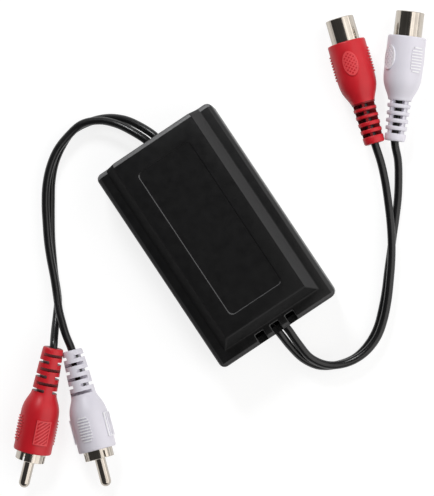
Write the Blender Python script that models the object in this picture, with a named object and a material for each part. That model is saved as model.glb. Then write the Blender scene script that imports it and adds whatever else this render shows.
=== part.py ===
"""Ground loop isolator: a small black case with two audio transformers on a board inside.

A pair of leads with phono plugs leaves one end of the case, and a pair with phono sockets
leaves the other. The origin is under the middle of the case. +X runs along the case to the
socket end, +Y across it, and +Z up from the table that everything lies on.
"""
import math

import bmesh
import bpy
from mathutils import Euler, Matrix, Vector

MM = 0.001
GAP = 0.3 * MM                    # clearance between pieces that meet

# Case
CASE_LENGTH = 66.5 * MM
CASE_WIDTH = 39.5 * MM
CASE_HEIGHT = 22.0 * MM
WALL = 2.0 * MM
CORNER_RADIUS = 1.8 * MM          # upright corners
EDGE_RADIUS = 1.2 * MM            # edges round the cover's top
FOOT_RADIUS = 0.8 * MM            # edge round the case's underside
PARTING_HEIGHT = 9.0 * MM         # where the two shells meet, through the lead exits
BRIM_HEIGHT = 16.5 * MM
SIDE_BRIM = 3.65 * MM             # flat brim beside the raised top, along each long side
END_BRIM = 4.15 * MM              # flat brim at the socket end
SLOPE_RUN = 2.6 * MM              # how far the sloping flanks of the raised top lean in
TONGUE_THICKNESS = 0.8 * MM
TONGUE_HEIGHT = 1.4 * MM

# Shallow label recess in the raised top, left bare
RECESS_LENGTH = 48.8 * MM
RECESS_WIDTH = 17.9 * MM
RECESS_DEPTH = 0.3 * MM
RECESS_RADIUS = 1.5 * MM
RECESS_SHIFT = -2.5 * MM          # the recess sits nearer to the plug end

# Notches through the brim and the end wall at the socket end
NOTCH_COUNT = 3
NOTCH_WIDTH = 2.8 * MM
NOTCH_PITCH = 5.15 * MM
NOTCH_LENGTH = 3.1 * MM
NOTCH_DEPTH = 4.0 * MM

# Screws, from below, in the four corners
BOSS_RADIUS = 2.9 * MM
SCREW_RADIUS = 1.25 * MM
SCREW_LENGTH = 9.5 * MM
SCREW_HEAD_RADIUS = 2.2 * MM
SCREW_HEAD_HEIGHT = 1.6 * MM
SCREW_POINT = 1.6 * MM
COUNTERBORE_DEPTH = 2.6 * MM
CROSS_WIDTH = 0.6 * MM
CROSS_SPAN = 2.4 * MM
CROSS_DEPTH = 0.8 * MM

# Circuit board on four pegged posts
BOARD_END_ROOM = 10.25 * MM       # from the case's ends, for the ties and the leads' joints
BOARD_SIDE_ROOM = 6.25 * MM
BOARD_THICKNESS = 1.6 * MM
POST_HEIGHT = 2.0 * MM            # above the floor of the case
POST_RADIUS = 2.0 * MM
POST_INSET = 2.6 * MM             # from the board's edges
PEG_RADIUS = 0.8 * MM
PEG_RISE = 0.6 * MM               # above the board

# Isolation transformers
TRANSFORMER_SHIFT = 1.0 * MM      # from the board's quarter points towards its middle
TRANSFORMER_HEADROOM = 1.8 * MM   # under the cover
CORE_WIDTH = 14.0 * MM
CORE_STACK = 4.8 * MM
LEG_WIDTH = 4.0 * MM
YOKE_HEIGHT = 2.0 * MM
BOBBIN_WALL = 0.5 * MM
FLANGE_THICKNESS = 0.6 * MM
FLANGE_LENGTH = 11.0 * MM
WINDING_BUILD = 1.4 * MM
PIN_SIZE = 0.6 * MM
PIN_PITCH = 3.6 * MM
PIN_DROP = 1.0 * MM               # below the board
PIN_HOLE_RADIUS = 0.75 * MM

# Leads
LEAD_RADIUS = 1.175 * MM
LEAD_POINTS = 20                  # points along each drawn lead
EXIT_WIDTH = 7.0 * MM
EXIT_CLEARANCE = 0.5 * MM         # above and below a lead in its exit
TIE_SETBACK = 4.95 * MM           # cable ties stand inside the case's ends
TIE_OPENING = 5.6 * MM
TIE_THICKNESS = 0.9 * MM
TIE_WIDTH = 2.4 * MM
TIE_HEAD = 3.6 * MM

# Boots of the plugs and sockets, measured forwards from where the lead enters
BOOT_SIDES = 24
BORE_RADIUS = LEAD_RADIUS + GAP
LEAD_DEPTH = 12.0 * MM            # how far a lead reaches into its boot
HANDLE_RADIUS = 5.6 * MM
SHOULDER_LENGTH = 4.0 * MM        # from the sleeve to the handle's full radius
SHOULDER_RADIUS = 4.0 * MM
NOSE_EDGE = 0.5 * MM
TAIL_RADIUS = 3.05 * MM
NECK_RADIUS = 3.75 * MM           # the slotted sleeve where it meets the shoulder
GRIP_SETBACK = 10.2 * MM          # a grip's start, behind the nose
GRIP_LENGTH = 7.2 * MM
GRIP_WIDTH = 4.4 * MM
GRIP_HEIGHT = 0.4 * MM
PAD_HEIGHT = 0.2 * MM             # of the pad under the slanted ribs
RIB_WIDTH = 0.4 * MM
RIB_COUNT = 9

PLUG_SHOULDER = 14.6 * MM
PLUG_SLOTS = 6
PLUG_SLOT_START = 2.1 * MM
PLUG_SLOT_PITCH = 2.13 * MM
PLUG_SLOT_WIDTH = 0.9 * MM
PLUG_SLOT_FLOOR = 1.15 * MM       # from the boot's axis, so that the slot bares the lead

SOCKET_SHOULDER = 13.7 * MM
SOCKET_SLOTS = 5
SOCKET_SLOT_START = 2.7 * MM
SOCKET_SLOT_PITCH = 2.16 * MM
SOCKET_SLOT_WIDTH = 0.95 * MM
SOCKET_WINDOW = 3.2 * MM
POST_RIM = 2.7 * MM               # radius of the posts between a socket's windows

# Phono connector metal
CONTACT_START = 16.0 * MM         # where the centre pin and the centre contact begin
SEAT_START = 23.0 * MM            # where the rings, shells and insulators begin
PIN_RADIUS = 1.6 * MM
PIN_SHOWING = 11.0 * MM
RING_RADIUS = 4.35 * MM
RING_WALL = 0.35 * MM
RING_SHOWING = 2.7 * MM
RING_SLITS = 4
RING_SLIT_WIDTH = 0.6 * MM
RING_SLIT_LENGTH = 2.2 * MM
SHELL_RADIUS = 4.15 * MM
SHELL_WALL = 0.45 * MM
SHELL_SHOWING = 7.2 * MM
MOUTH_DEPTH = 0.5 * MM            # insulator's face behind the shell's rim
CONTACT_WALL = 0.35 * MM
LEAN_PIVOT = 28.0 * MM            # the metal leans in its boot about this point

# Middle to end wall, for the case that PLACES and ROUTES are given for. They move with the ends.
DRAWN_END = 33.25 * MM

# Where each plug and socket lies: the lead's entry, heading, pitch (nose up) and roll
PLACES = {
    "plug_red": ((0.69 * MM, -58.08 * MM), -45.7, -3.5, 65.0),
    "plug_white": ((4.25 * MM, -54.25 * MM), -18.9, 2.0, 16.0),
    "socket_red": ((3.12 * MM, 52.84 * MM), 162.2, -1.0, -5.0),
    "socket_white": ((5.75 * MM, 58.02 * MM), 139.4, 1.0, -52.0),
}

# The boots' lengths as they measure in the photograph, where the two plugs differ
BOOT_LENGTHS = {"plug_red": 31.2 * MM, "plug_white": 30.0 * MM,
                "socket_red": 30.5 * MM, "socket_white": 30.5 * MM}

# How far the metal leans in its boot, in degrees
METAL_LEANS = {"plug_red": -2.0, "plug_white": 0.0, "socket_red": 0.0, "socket_white": 0.0}

# Free run of each lead in millimetres, from the board inside the case to just short of its boot.
# The first lead of each pair lies on the table, and the second rests on it.
ROUTES = {
    "plug_red": [
        (-21.5, 1.3, 8.2), (-25.0, 1.3, 8.9), (-28.5, 1.3, 9.0), (-31.5, 1.2, 9.0), (-34.6, 0.8, 8.8),
        (-39.3, -1.3, 7.1), (-43.5, -4.1, 5.0), (-46.8, -8.1, 2.8), (-48.8, -13.1, 1.5), (-49.4, -18.6, 1.2),
        (-47.5, -23.7, 1.2), (-44.5, -28.3, 1.2), (-40.5, -32.2, 1.2), (-36.0, -35.4, 1.2), (-31.4, -38.5, 1.2),
        (-26.7, -41.5, 1.2), (-21.9, -44.2, 1.2), (-17.0, -46.8, 1.2), (-13.5, -48.4, 1.2), (-10.3, -50.0, 1.5),
        (-8.0, -51.7, 2.3), (-5.8, -53.4, 3.3), (-3.7, -55.0, 4.7), (-1.7, -56.4, 6.3)],
    "plug_white": [
        (-21.5, -1.3, 8.2), (-25.0, -1.3, 8.9), (-28.5, -1.3, 9.0), (-31.5, -1.4, 9.0), (-34.6, -1.9, 8.9),
        (-39.2, -4.0, 8.2), (-43.5, -6.6, 7.0), (-47.2, -10.3, 5.4), (-49.3, -15.2, 4.4), (-48.7, -20.5, 3.9),
        (-47.0, -25.6, 3.8), (-43.9, -30.2, 3.8), (-40.1, -34.0, 3.7), (-35.7, -37.2, 3.6), (-31.0, -40.0, 3.6),
        (-26.3, -42.6, 3.8), (-21.4, -44.9, 3.8), (-16.6, -46.9, 3.8), (-12.0, -49.0, 4.1), (-7.7, -50.9, 5.1),
        (-4.4, -52.0, 5.7), (-0.5, -53.2, 5.8)],
    "socket_white": [
        (21.5, -1.3, 8.2), (25.0, -1.2, 8.9), (28.5, -1.1, 9.0), (31.5, -0.8, 9.0), (34.6, -0.5, 8.7),
        (38.8, -0.2, 6.9), (43.8, 0.8, 4.7), (48.1, 3.5, 2.7), (50.8, 8.1, 1.5), (51.9, 13.4, 1.2),
        (50.8, 18.8, 1.2), (48.2, 23.7, 1.2), (44.6, 27.8, 1.2), (40.6, 31.7, 1.2), (36.4, 35.3, 1.2),
        (32.2, 39.0, 1.2), (28.1, 42.6, 1.2), (24.0, 46.3, 1.2), (19.7, 49.9, 1.2), (15.2, 53.1, 1.9),
        (10.8, 55.8, 3.7)],
    "socket_red": [
        (21.5, 1.3, 8.2), (25.0, 1.4, 8.9), (28.5, 1.5, 9.0), (31.5, 1.8, 9.0), (34.6, 2.1, 8.9),
        (39.2, 2.2, 8.1), (44.6, 2.8, 6.8), (49.2, 5.8, 5.2), (51.8, 10.8, 4.2), (52.2, 16.5, 3.9),
        (50.5, 22.0, 3.8), (47.2, 26.6, 3.8), (43.1, 30.7, 3.8), (38.7, 34.4, 3.8), (34.1, 38.0, 3.8),
        (29.4, 41.2, 3.8), (24.4, 44.1, 3.7), (19.3, 46.7, 3.4), (14.0, 49.2, 3.9), (8.6, 51.3, 5.2)],
}

# Sizes that follow from the ones above
SLOPE_ANGLE = math.atan2(CASE_HEIGHT - BRIM_HEIGHT, SLOPE_RUN)
BOSS_X = CASE_LENGTH / 2 - WALL - GAP - BOSS_RADIUS
BOSS_Y = CASE_WIDTH / 2 - WALL - GAP - BOSS_RADIUS
BOARD_LENGTH = CASE_LENGTH - 2 * BOARD_END_ROOM
BOARD_WIDTH = CASE_WIDTH - 2 * BOARD_SIDE_ROOM
BOARD_BOTTOM = WALL + POST_HEIGHT + GAP
BOARD_TOP = BOARD_BOTTOM + BOARD_THICKNESS
POST_X = BOARD_LENGTH / 2 - POST_INSET
POST_Y = BOARD_WIDTH / 2 - POST_INSET
TIE_POSITION = CASE_LENGTH / 2 - TIE_SETBACK
CORE_HEIGHT = CASE_HEIGHT - WALL - TRANSFORMER_HEADROOM - BOARD_TOP - GAP
WINDOW_WIDTH = (CORE_WIDTH - 2 * LEG_WIDTH) / 2
WINDOW_HEIGHT = CORE_HEIGHT - 2 * YOKE_HEIGHT
CORNER_SIGNS = [(-1, -1), (1, -1), (1, 1), (-1, 1)]


def material(name, colour, roughness, metallic=0.0):
    """A plain Principled material."""
    finish = bpy.data.materials.new(name)
    finish.use_nodes = True
    shader = finish.node_tree.nodes["Principled BSDF"]
    shader.inputs["Base Color"].default_value = (*colour, 1.0)
    shader.inputs["Roughness"].default_value = roughness
    shader.inputs["Metallic"].default_value = metallic
    return finish


def add_object(name, form, finish=None):
    """Turns a bmesh into a named object with its faces pointing out."""
    bmesh.ops.recalc_face_normals(form, faces=form.faces)
    mesh = bpy.data.meshes.new(name)
    form.to_mesh(mesh)
    form.free()
    if finish:
        mesh.materials.append(finish)
    piece = bpy.data.objects.new(name, mesh)
    bpy.context.scene.collection.objects.link(piece)
    return piece


def carve(piece, tool, operation="DIFFERENCE"):
    """Cuts, joins or intersects a piece with a tool, and removes the tool."""
    step = piece.modifiers.new(operation.lower(), "BOOLEAN")
    step.operation = operation
    step.solver = "EXACT"
    step.object = tool
    shaped = piece.evaluated_get(bpy.context.evaluated_depsgraph_get())
    mesh = bpy.data.meshes.new_from_object(shaped)
    piece.modifiers.remove(step)
    piece.data = mesh
    bpy.data.objects.remove(tool)
    return piece


def smooth(piece, angle=35.0):
    """Shades round faces smooth and keeps the edges sharper than an angle."""
    piece.data.shade_smooth()
    piece.data.set_sharp_from_angle(angle=math.radians(angle))
    return piece


def add_block(form, low, high, turn=None):
    """Adds a box to a bmesh, given its lowest and highest corners."""
    low = Vector(low)
    high = Vector(high)
    place = Matrix.Translation((low + high) / 2) @ Matrix.Diagonal((*(high - low), 1.0))
    if turn is not None:
        place = turn @ place
    bmesh.ops.create_cube(form, size=1.0, matrix=place)


def add_post(form, x, y, low, high, radius, sides=16):
    """Adds an upright cylinder to a bmesh."""
    place = Matrix.Translation((x, y, (low + high) / 2))
    bmesh.ops.create_cone(form, cap_ends=True, segments=sides, radius1=radius, radius2=radius,
                          depth=high - low, matrix=place)


def rounded_loop(form, half_x, half_y, radius, z, steps=3):
    """Adds the vertices of a rectangle with round corners at one height."""
    loop = []
    for corner, (side_x, side_y) in enumerate([(1, 1), (-1, 1), (-1, -1), (1, -1)]):
        for step in range(steps + 1):
            angle = math.pi / 2 * (corner + step / steps)
            x = side_x * (half_x - radius) + radius * math.cos(angle)
            y = side_y * (half_y - radius) + radius * math.sin(angle)
            loop.append(form.verts.new((x, y, z)))
    return loop


def stacked_form(levels):
    """A closed form through rounded rectangles, each given as half sizes, corner radius and height."""
    form = bmesh.new()
    loops = [rounded_loop(form, *level) for level in levels]
    for lower, upper in zip(loops, loops[1:]):
        count = len(lower)
        for i in range(count):
            form.faces.new((lower[i], lower[(i + 1) % count], upper[(i + 1) % count], upper[i]))
    form.faces.new(list(reversed(loops[0])))
    form.faces.new(loops[-1])
    return form


def turned_form(profile, sides=BOOT_SIDES):
    """Turns a profile of (distance, radius) pairs about the X axis.

    A profile that starts and ends on the axis gives a solid, and any other is closed on itself.
    """
    form = bmesh.new()
    rings = []
    for distance, radius in profile:
        if radius == 0.0:
            rings.append([form.verts.new((distance, 0.0, 0.0))] * sides)
            continue
        ring = []
        for side in range(sides):
            angle = 2 * math.pi * side / sides
            ring.append(form.verts.new((distance, radius * math.cos(angle), radius * math.sin(angle))))
        rings.append(ring)
    pairs = list(zip(rings, rings[1:]))
    if profile[0][1] > 0.0:
        pairs.append((rings[-1], rings[0]))
    for first, second in pairs:
        for side in range(sides):
            after = (side + 1) % sides
            corners = []
            for vertex in (first[side], first[after], second[after], second[side]):
                if vertex not in corners:
                    corners.append(vertex)
            form.faces.new(corners)
    return form


def cover_form(inset, base):
    """The cover's outside, or with an inset the hollow inside it.

    The raised top has a brim and sloping flanks on three sides, and runs out flush at the plug end.
    """
    lean = inset * math.tan(SLOPE_ANGLE / 2)
    half_x = CASE_LENGTH / 2 - inset
    half_y = CASE_WIDTH / 2 - inset
    brim = BRIM_HEIGHT - inset
    top = CASE_HEIGHT - inset
    foot_x = CASE_LENGTH / 2 - END_BRIM - lean
    foot_y = CASE_WIDTH / 2 - SIDE_BRIM - lean
    form = bmesh.new()

    def ring(near_x, half_width, z):
        corners = [(-half_x, -half_width), (near_x, -half_width), (near_x, half_width), (-half_x, half_width)]
        return [form.verts.new((x, y, z)) for x, y in corners]

    base_ring = ring(half_x, half_y, base)
    brim_ring = ring(half_x, half_y, brim)
    foot_ring = ring(foot_x, foot_y, brim)
    top_ring = ring(foot_x - SLOPE_RUN, foot_y - SLOPE_RUN, top)
    form.faces.new(reversed(base_ring))
    for i in range(3):
        form.faces.new((base_ring[i], base_ring[i + 1], brim_ring[i + 1], brim_ring[i]))
        form.faces.new((brim_ring[i], brim_ring[i + 1], foot_ring[i + 1], foot_ring[i]))
        form.faces.new((foot_ring[i], foot_ring[i + 1], top_ring[i + 1], top_ring[i]))
    form.faces.new(top_ring)
    form.faces.new((base_ring[3], base_ring[0], brim_ring[0], foot_ring[0], top_ring[0], top_ring[3],
                    foot_ring[3], brim_ring[3]))
    form.normal_update()
    return form


def is_wall(face):
    """True for an upright face."""
    return abs(face.normal.z) < 0.1


def round_cover(form, base):
    """Rounds the cover's upright corners, then every edge between a wall and the top."""
    bmesh.ops.recalc_face_normals(form, faces=form.faces)
    uprights = [edge for edge in form.edges if all(is_wall(face) for face in edge.link_faces)]
    bmesh.ops.bevel(form, geom=uprights, offset=CORNER_RADIUS, segments=3, profile=0.5, affect="EDGES")
    form.normal_update()
    rims = []
    for edge in form.edges:
        walls = [face for face in edge.link_faces if is_wall(face)]
        above = min(vertex.co.z for vertex in edge.verts) > base + GAP
        if len(walls) == 1 and above:
            rims.append(edge)
    bmesh.ops.bevel(form, geom=rims, offset=EDGE_RADIUS, segments=2, profile=0.5, affect="EDGES")
    return form


def exit_tool():
    """The slot across both end walls that the leads pass through."""
    half_height = LEAD_RADIUS + EXIT_CLEARANCE
    form = bmesh.new()
    for side in (-1, 1):
        near = side * (CASE_LENGTH / 2 - WALL - 2 * GAP)
        far = side * (CASE_LENGTH / 2 + WALL)
        add_block(form, (min(near, far), -EXIT_WIDTH / 2, PARTING_HEIGHT - half_height),
                  (max(near, far), EXIT_WIDTH / 2, PARTING_HEIGHT + half_height))
    return add_object("exit_tool", form)


def make_top_cover(finish):
    """The upper shell, with its label recess, notches and four screw bosses."""
    base = PARTING_HEIGHT + GAP / 2
    cover = add_object("top_cover", round_cover(cover_form(0.0, base), base), finish)
    carve(cover, add_object("hollow_tool", cover_form(WALL, base - WALL)))

    rebate = WALL - TONGUE_THICKNESS - GAP
    half_x = CASE_LENGTH / 2 - rebate
    half_y = CASE_WIDTH / 2 - rebate
    corner = CORNER_RADIUS - rebate
    carve(cover, add_object("rebate_tool", stacked_form([
        (half_x, half_y, corner, base - WALL),
        (half_x, half_y, corner, PARTING_HEIGHT + TONGUE_HEIGHT + GAP)])))

    bosses = bmesh.new()
    for side_x, side_y in CORNER_SIGNS:
        add_post(bosses, side_x * BOSS_X, side_y * BOSS_Y, base, BRIM_HEIGHT - WALL / 2, BOSS_RADIUS)
    carve(cover, add_object("boss_tool", bosses), "UNION")
    pilots = bmesh.new()
    depth = screw_seat() + SCREW_LENGTH + 2 * GAP
    for side_x, side_y in CORNER_SIGNS:
        add_post(pilots, side_x * BOSS_X, side_y * BOSS_Y, base - WALL, depth, SCREW_RADIUS + GAP, 12)
    carve(cover, add_object("pilot_tool", pilots))

    recess = stacked_form([
        (RECESS_LENGTH / 2, RECESS_WIDTH / 2, RECESS_RADIUS, CASE_HEIGHT - RECESS_DEPTH),
        (RECESS_LENGTH / 2, RECESS_WIDTH / 2, RECESS_RADIUS, CASE_HEIGHT + RECESS_DEPTH)])
    bmesh.ops.translate(recess, vec=(RECESS_SHIFT, 0.0, 0.0), verts=recess.verts)
    carve(cover, add_object("recess_tool", recess))

    notches = bmesh.new()
    for i in range(NOTCH_COUNT):
        y = (i - (NOTCH_COUNT - 1) / 2) * NOTCH_PITCH
        add_block(notches, (CASE_LENGTH / 2 - NOTCH_LENGTH, y - NOTCH_WIDTH / 2, BRIM_HEIGHT - NOTCH_DEPTH),
                  (CASE_LENGTH / 2 + WALL, y + NOTCH_WIDTH / 2, BRIM_HEIGHT + WALL))
    carve(cover, add_object("notch_tool", notches))
    carve(cover, exit_tool())
    return smooth(cover)


def make_bottom_case(finish):
    """The lower shell: a tray with a tongue round its rim, screw bosses and pegged board posts."""
    rim = PARTING_HEIGHT - GAP / 2
    half_x = CASE_LENGTH / 2
    half_y = CASE_WIDTH / 2
    step = WALL - TONGUE_THICKNESS
    tongue_top = PARTING_HEIGHT + TONGUE_HEIGHT
    tray = add_object("bottom_case", stacked_form([
        (half_x - FOOT_RADIUS, half_y - FOOT_RADIUS, CORNER_RADIUS - FOOT_RADIUS / 2, 0.0),
        (half_x, half_y, CORNER_RADIUS, FOOT_RADIUS),
        (half_x, half_y, CORNER_RADIUS, rim),
        (half_x - step, half_y - step, CORNER_RADIUS - step, rim),
        (half_x - step, half_y - step, CORNER_RADIUS - step, tongue_top)]), finish)
    carve(tray, add_object("hollow_tool", stacked_form([
        (half_x - WALL, half_y - WALL, GAP, WALL),
        (half_x - WALL, half_y - WALL, GAP, tongue_top + WALL)])))

    posts = bmesh.new()
    for side_x, side_y in CORNER_SIGNS:
        add_post(posts, side_x * BOSS_X, side_y * BOSS_Y, WALL / 2, rim, BOSS_RADIUS)
        add_post(posts, side_x * POST_X, side_y * POST_Y, WALL / 2, WALL + POST_HEIGHT, POST_RADIUS, 12)
    carve(tray, add_object("post_tool", posts), "UNION")
    pegs = bmesh.new()
    for side_x, side_y in CORNER_SIGNS:
        add_post(pegs, side_x * POST_X, side_y * POST_Y, WALL + POST_HEIGHT / 2, BOARD_TOP + PEG_RISE,
                 PEG_RADIUS, 8)
    carve(tray, add_object("peg_tool", pegs), "UNION")

    holes = bmesh.new()
    for side_x, side_y in CORNER_SIGNS:
        add_post(holes, side_x * BOSS_X, side_y * BOSS_Y, -WALL, rim + WALL, SCREW_RADIUS + GAP, 12)
    carve(tray, add_object("hole_tool", holes))
    counterbores = bmesh.new()
    for side_x, side_y in CORNER_SIGNS:
        add_post(counterbores, side_x * BOSS_X, side_y * BOSS_Y, -WALL, COUNTERBORE_DEPTH,
                 SCREW_HEAD_RADIUS + GAP)
    carve(tray, add_object("counterbore_tool", counterbores))
    carve(tray, exit_tool())
    return smooth(tray)


def screw_seat():
    """Height of the flat under a screw's head, which bears on the top of its counterbore."""
    return COUNTERBORE_DEPTH - GAP


def make_screws(finish):
    """Four self-tapping screws with cross recesses, which share one mesh."""
    seat = screw_seat()
    edge = SCREW_HEAD_HEIGHT / 4
    profile = [
        (seat - SCREW_HEAD_HEIGHT, 0.0), (seat - SCREW_HEAD_HEIGHT, SCREW_HEAD_RADIUS - 2 * edge),
        (seat - SCREW_HEAD_HEIGHT + edge, SCREW_HEAD_RADIUS - edge / 2), (seat - edge, SCREW_HEAD_RADIUS),
        (seat, SCREW_HEAD_RADIUS), (seat, SCREW_RADIUS), (seat + SCREW_LENGTH - SCREW_POINT, SCREW_RADIUS),
        (seat + SCREW_LENGTH, 0.0)]
    form = turned_form(profile, 16)
    bmesh.ops.rotate(form, cent=(0, 0, 0), matrix=Matrix.Rotation(-math.pi / 2, 3, "Y"), verts=form.verts)
    screw = add_object("case_screw_1", form, finish)
    for turn in (0.0, math.pi / 2):
        slot = bmesh.new()
        add_block(slot, (-CROSS_SPAN / 2, -CROSS_WIDTH / 2, -WALL),
                  (CROSS_SPAN / 2, CROSS_WIDTH / 2, seat - SCREW_HEAD_HEIGHT + CROSS_DEPTH),
                  Matrix.Rotation(turn, 4, "Z"))
        carve(screw, add_object("cross_tool", slot))
    smooth(screw)
    screws = [screw]
    for number in (2, 3, 4):
        copy = bpy.data.objects.new(f"case_screw_{number}", screw.data)
        bpy.context.scene.collection.objects.link(copy)
        screws.append(copy)
    for piece, (side_x, side_y) in zip(screws, CORNER_SIGNS):
        piece.location = (side_x * BOSS_X, side_y * BOSS_Y, 0.0)


def transformer_centres():
    """Middle of each transformer along the case."""
    reach = BOARD_LENGTH / 4 - TRANSFORMER_SHIFT
    return [-reach, reach]


def pin_places(centre):
    """Where a transformer's six pins pass through the board."""
    pin_x = (CORE_STACK / 2 + GAP + FLANGE_LENGTH / 2) / 2
    return [(centre + side * pin_x, row * PIN_PITCH) for side in (-1, 1) for row in (-1, 0, 1)]


def make_board(finish):
    """The circuit board, drilled for the posts' pegs and the transformers' pins."""
    form = bmesh.new()
    add_block(form, (-BOARD_LENGTH / 2, -BOARD_WIDTH / 2, BOARD_BOTTOM),
              (BOARD_LENGTH / 2, BOARD_WIDTH / 2, BOARD_TOP))
    board = add_object("circuit_board", form, finish)
    drills = bmesh.new()
    for side_x, side_y in CORNER_SIGNS:
        add_post(drills, side_x * POST_X, side_y * POST_Y, 0.0, CASE_HEIGHT, PEG_RADIUS + GAP, 12)
    for centre in transformer_centres():
        for x, y in pin_places(centre):
            add_post(drills, x, y, 0.0, CASE_HEIGHT, PIN_HOLE_RADIUS, 8)
    return carve(board, add_object("drill_tool", drills))


def make_transformer(number, centre, core_finish, bobbin_finish, winding_finish):
    """An isolation transformer: laminated core, bobbin with its pins, and winding."""
    base = BOARD_TOP + GAP
    window_low = base + YOKE_HEIGHT
    window_high = window_low + WINDOW_HEIGHT
    core_form = bmesh.new()
    add_block(core_form, (-CORE_STACK / 2, -CORE_WIDTH / 2, base),
              (CORE_STACK / 2, CORE_WIDTH / 2, base + CORE_HEIGHT))
    core = add_object(f"transformer_core_{number}", core_form, core_finish)
    windows = bmesh.new()
    for side in (-1, 1):
        middle = side * (LEG_WIDTH / 2 + WINDOW_WIDTH / 2)
        add_block(windows, (-CORE_STACK, middle - WINDOW_WIDTH / 2, window_low),
                  (CORE_STACK, middle + WINDOW_WIDTH / 2, window_high))
    carve(core, add_object("window_tool", windows))

    hole_x = CORE_STACK / 2 + GAP
    hole_y = LEG_WIDTH / 2 + GAP
    tube_x = hole_x + BOBBIN_WALL
    tube_y = hole_y + BOBBIN_WALL
    flange_x = FLANGE_LENGTH / 2
    flange_y = LEG_WIDTH / 2 + WINDOW_WIDTH - GAP
    low = window_low + GAP / 2
    high = window_high - GAP / 2
    corner = GAP
    bobbin = add_object(f"transformer_bobbin_{number}", stacked_form([
        (flange_x, flange_y, corner, low), (flange_x, flange_y, corner, low + FLANGE_THICKNESS),
        (tube_x, tube_y, corner, low + FLANGE_THICKNESS), (tube_x, tube_y, corner, high - FLANGE_THICKNESS),
        (flange_x, flange_y, corner, high - FLANGE_THICKNESS), (flange_x, flange_y, corner, high)]),
        bobbin_finish)
    feet = bmesh.new()
    for side in (-1, 1):
        inner = side * hole_x
        outer = side * flange_x
        add_block(feet, (min(inner, outer), -flange_y, base),
                  (max(inner, outer), flange_y, low + FLANGE_THICKNESS / 2))
    carve(bobbin, add_object("foot_tool", feet), "UNION")
    bore = bmesh.new()
    add_block(bore, (-hole_x, -hole_y, base - GAP), (hole_x, hole_y, high + GAP))
    carve(bobbin, add_object("bore_tool", bore))
    pins = bmesh.new()
    for x, y in pin_places(0.0):
        add_block(pins, (x - PIN_SIZE / 2, y - PIN_SIZE / 2, BOARD_BOTTOM - PIN_DROP),
                  (x + PIN_SIZE / 2, y + PIN_SIZE / 2, base + YOKE_HEIGHT / 2))
    carve(bobbin, add_object("pin_tool", pins), "UNION")

    inner_x = tube_x + GAP / 2
    inner_y = tube_y + GAP / 2
    floor = low + FLANGE_THICKNESS + GAP / 2
    ceiling = high - FLANGE_THICKNESS - GAP / 2
    winding = add_object(f"transformer_winding_{number}", stacked_form([
        (inner_x + WINDING_BUILD, inner_y + WINDING_BUILD, WINDING_BUILD, floor),
        (inner_x + WINDING_BUILD, inner_y + WINDING_BUILD, WINDING_BUILD, ceiling)]), winding_finish)
    carve(winding, add_object("tube_tool", stacked_form([
        (inner_x, inner_y, corner, floor - WALL), (inner_x, inner_y, corner, ceiling + WALL)])))
    for piece in (core, bobbin, smooth(winding)):
        piece.location.x = centre


def make_tie(name, x, finish):
    """A cable tie round a pair of leads, which keeps them from being pulled out of the case."""
    half_y = TIE_OPENING / 2
    half_z = LEAD_RADIUS + GAP
    levels = []
    for z in (-TIE_WIDTH / 2, TIE_WIDTH / 2):
        levels.append((half_z + TIE_THICKNESS, half_y + TIE_THICKNESS, half_z, z))
    tie = add_object(name, stacked_form(levels), finish)
    head = bmesh.new()
    add_block(head, (-half_z - TIE_THICKNESS - TIE_HEAD / 2, -TIE_HEAD / 2, -TIE_HEAD / 2),
              (-half_z - TIE_THICKNESS / 2, TIE_HEAD / 2, TIE_HEAD / 2))
    carve(tie, add_object("head_tool", head), "UNION")
    carve(tie, add_object("opening_tool", stacked_form([
        (half_z, half_y, half_z - GAP, -TIE_HEAD), (half_z, half_y, half_z - GAP, TIE_HEAD)])))
    tie.rotation_euler = Euler((0.0, math.pi / 2, 0.0))
    tie.location = (x, 0.0, PARTING_HEIGHT)
    return smooth(tie)


def shoulder_start(place):
    """Where the sleeve of a plug's or a socket's boot ends."""
    return PLUG_SHOULDER if place.startswith("plug") else SOCKET_SHOULDER


def sleeve_radius(place, distance):
    """Radius of a boot's tapered sleeve at a distance from the lead's entry."""
    share = (distance - NOSE_EDGE) / (shoulder_start(place) - 2 * NOSE_EDGE)
    return TAIL_RADIUS + share * (NECK_RADIUS - TAIL_RADIUS)


def boot_outline(place):
    """Outside of a boot, as (distance, radius) pairs from the lead's entry to the nose."""
    shoulder = shoulder_start(place)
    handle = shoulder + SHOULDER_LENGTH
    nose = BOOT_LENGTHS[place]
    outline = [(0.0, TAIL_RADIUS - NOSE_EDGE), (NOSE_EDGE, TAIL_RADIUS)]
    if place.startswith("socket"):
        for i in range(SOCKET_SLOTS):
            near = SOCKET_SLOT_START + i * SOCKET_SLOT_PITCH - SOCKET_SLOT_WIDTH / 2
            far = near + SOCKET_SLOT_WIDTH
            outline += [(near, sleeve_radius(place, near)), (near, POST_RIM), (far, POST_RIM),
                        (far, sleeve_radius(place, far))]
    return outline + [
        (shoulder - NOSE_EDGE, NECK_RADIUS), (shoulder, SHOULDER_RADIUS),
        (handle - 2 * NOSE_EDGE, HANDLE_RADIUS - NOSE_EDGE / 2), (handle + NOSE_EDGE, HANDLE_RADIUS),
        (nose - NOSE_EDGE, HANDLE_RADIUS), (nose, HANDLE_RADIUS - NOSE_EDGE)]


def entry_height(place):
    """Height of a boot's entry when the boot lies on the table at its pitch."""
    pitch = math.radians(PLACES[place][2])
    grip = BOOT_LENGTHS[place] - GRIP_SETBACK
    touching = boot_outline(place) + [
        (grip, HANDLE_RADIUS + GRIP_HEIGHT), (grip + GRIP_LENGTH, HANDLE_RADIUS + GRIP_HEIGHT)]
    return max(radius * math.cos(pitch) - distance * math.sin(pitch) for distance, radius in touching)


def end_shift(place):
    """How far a plug or a socket, with its lead, moves along X to follow its end of the case."""
    side = -1 if place.startswith("plug") else 1
    return Vector((side * (CASE_LENGTH / 2 - DRAWN_END), 0.0, 0.0))


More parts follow.
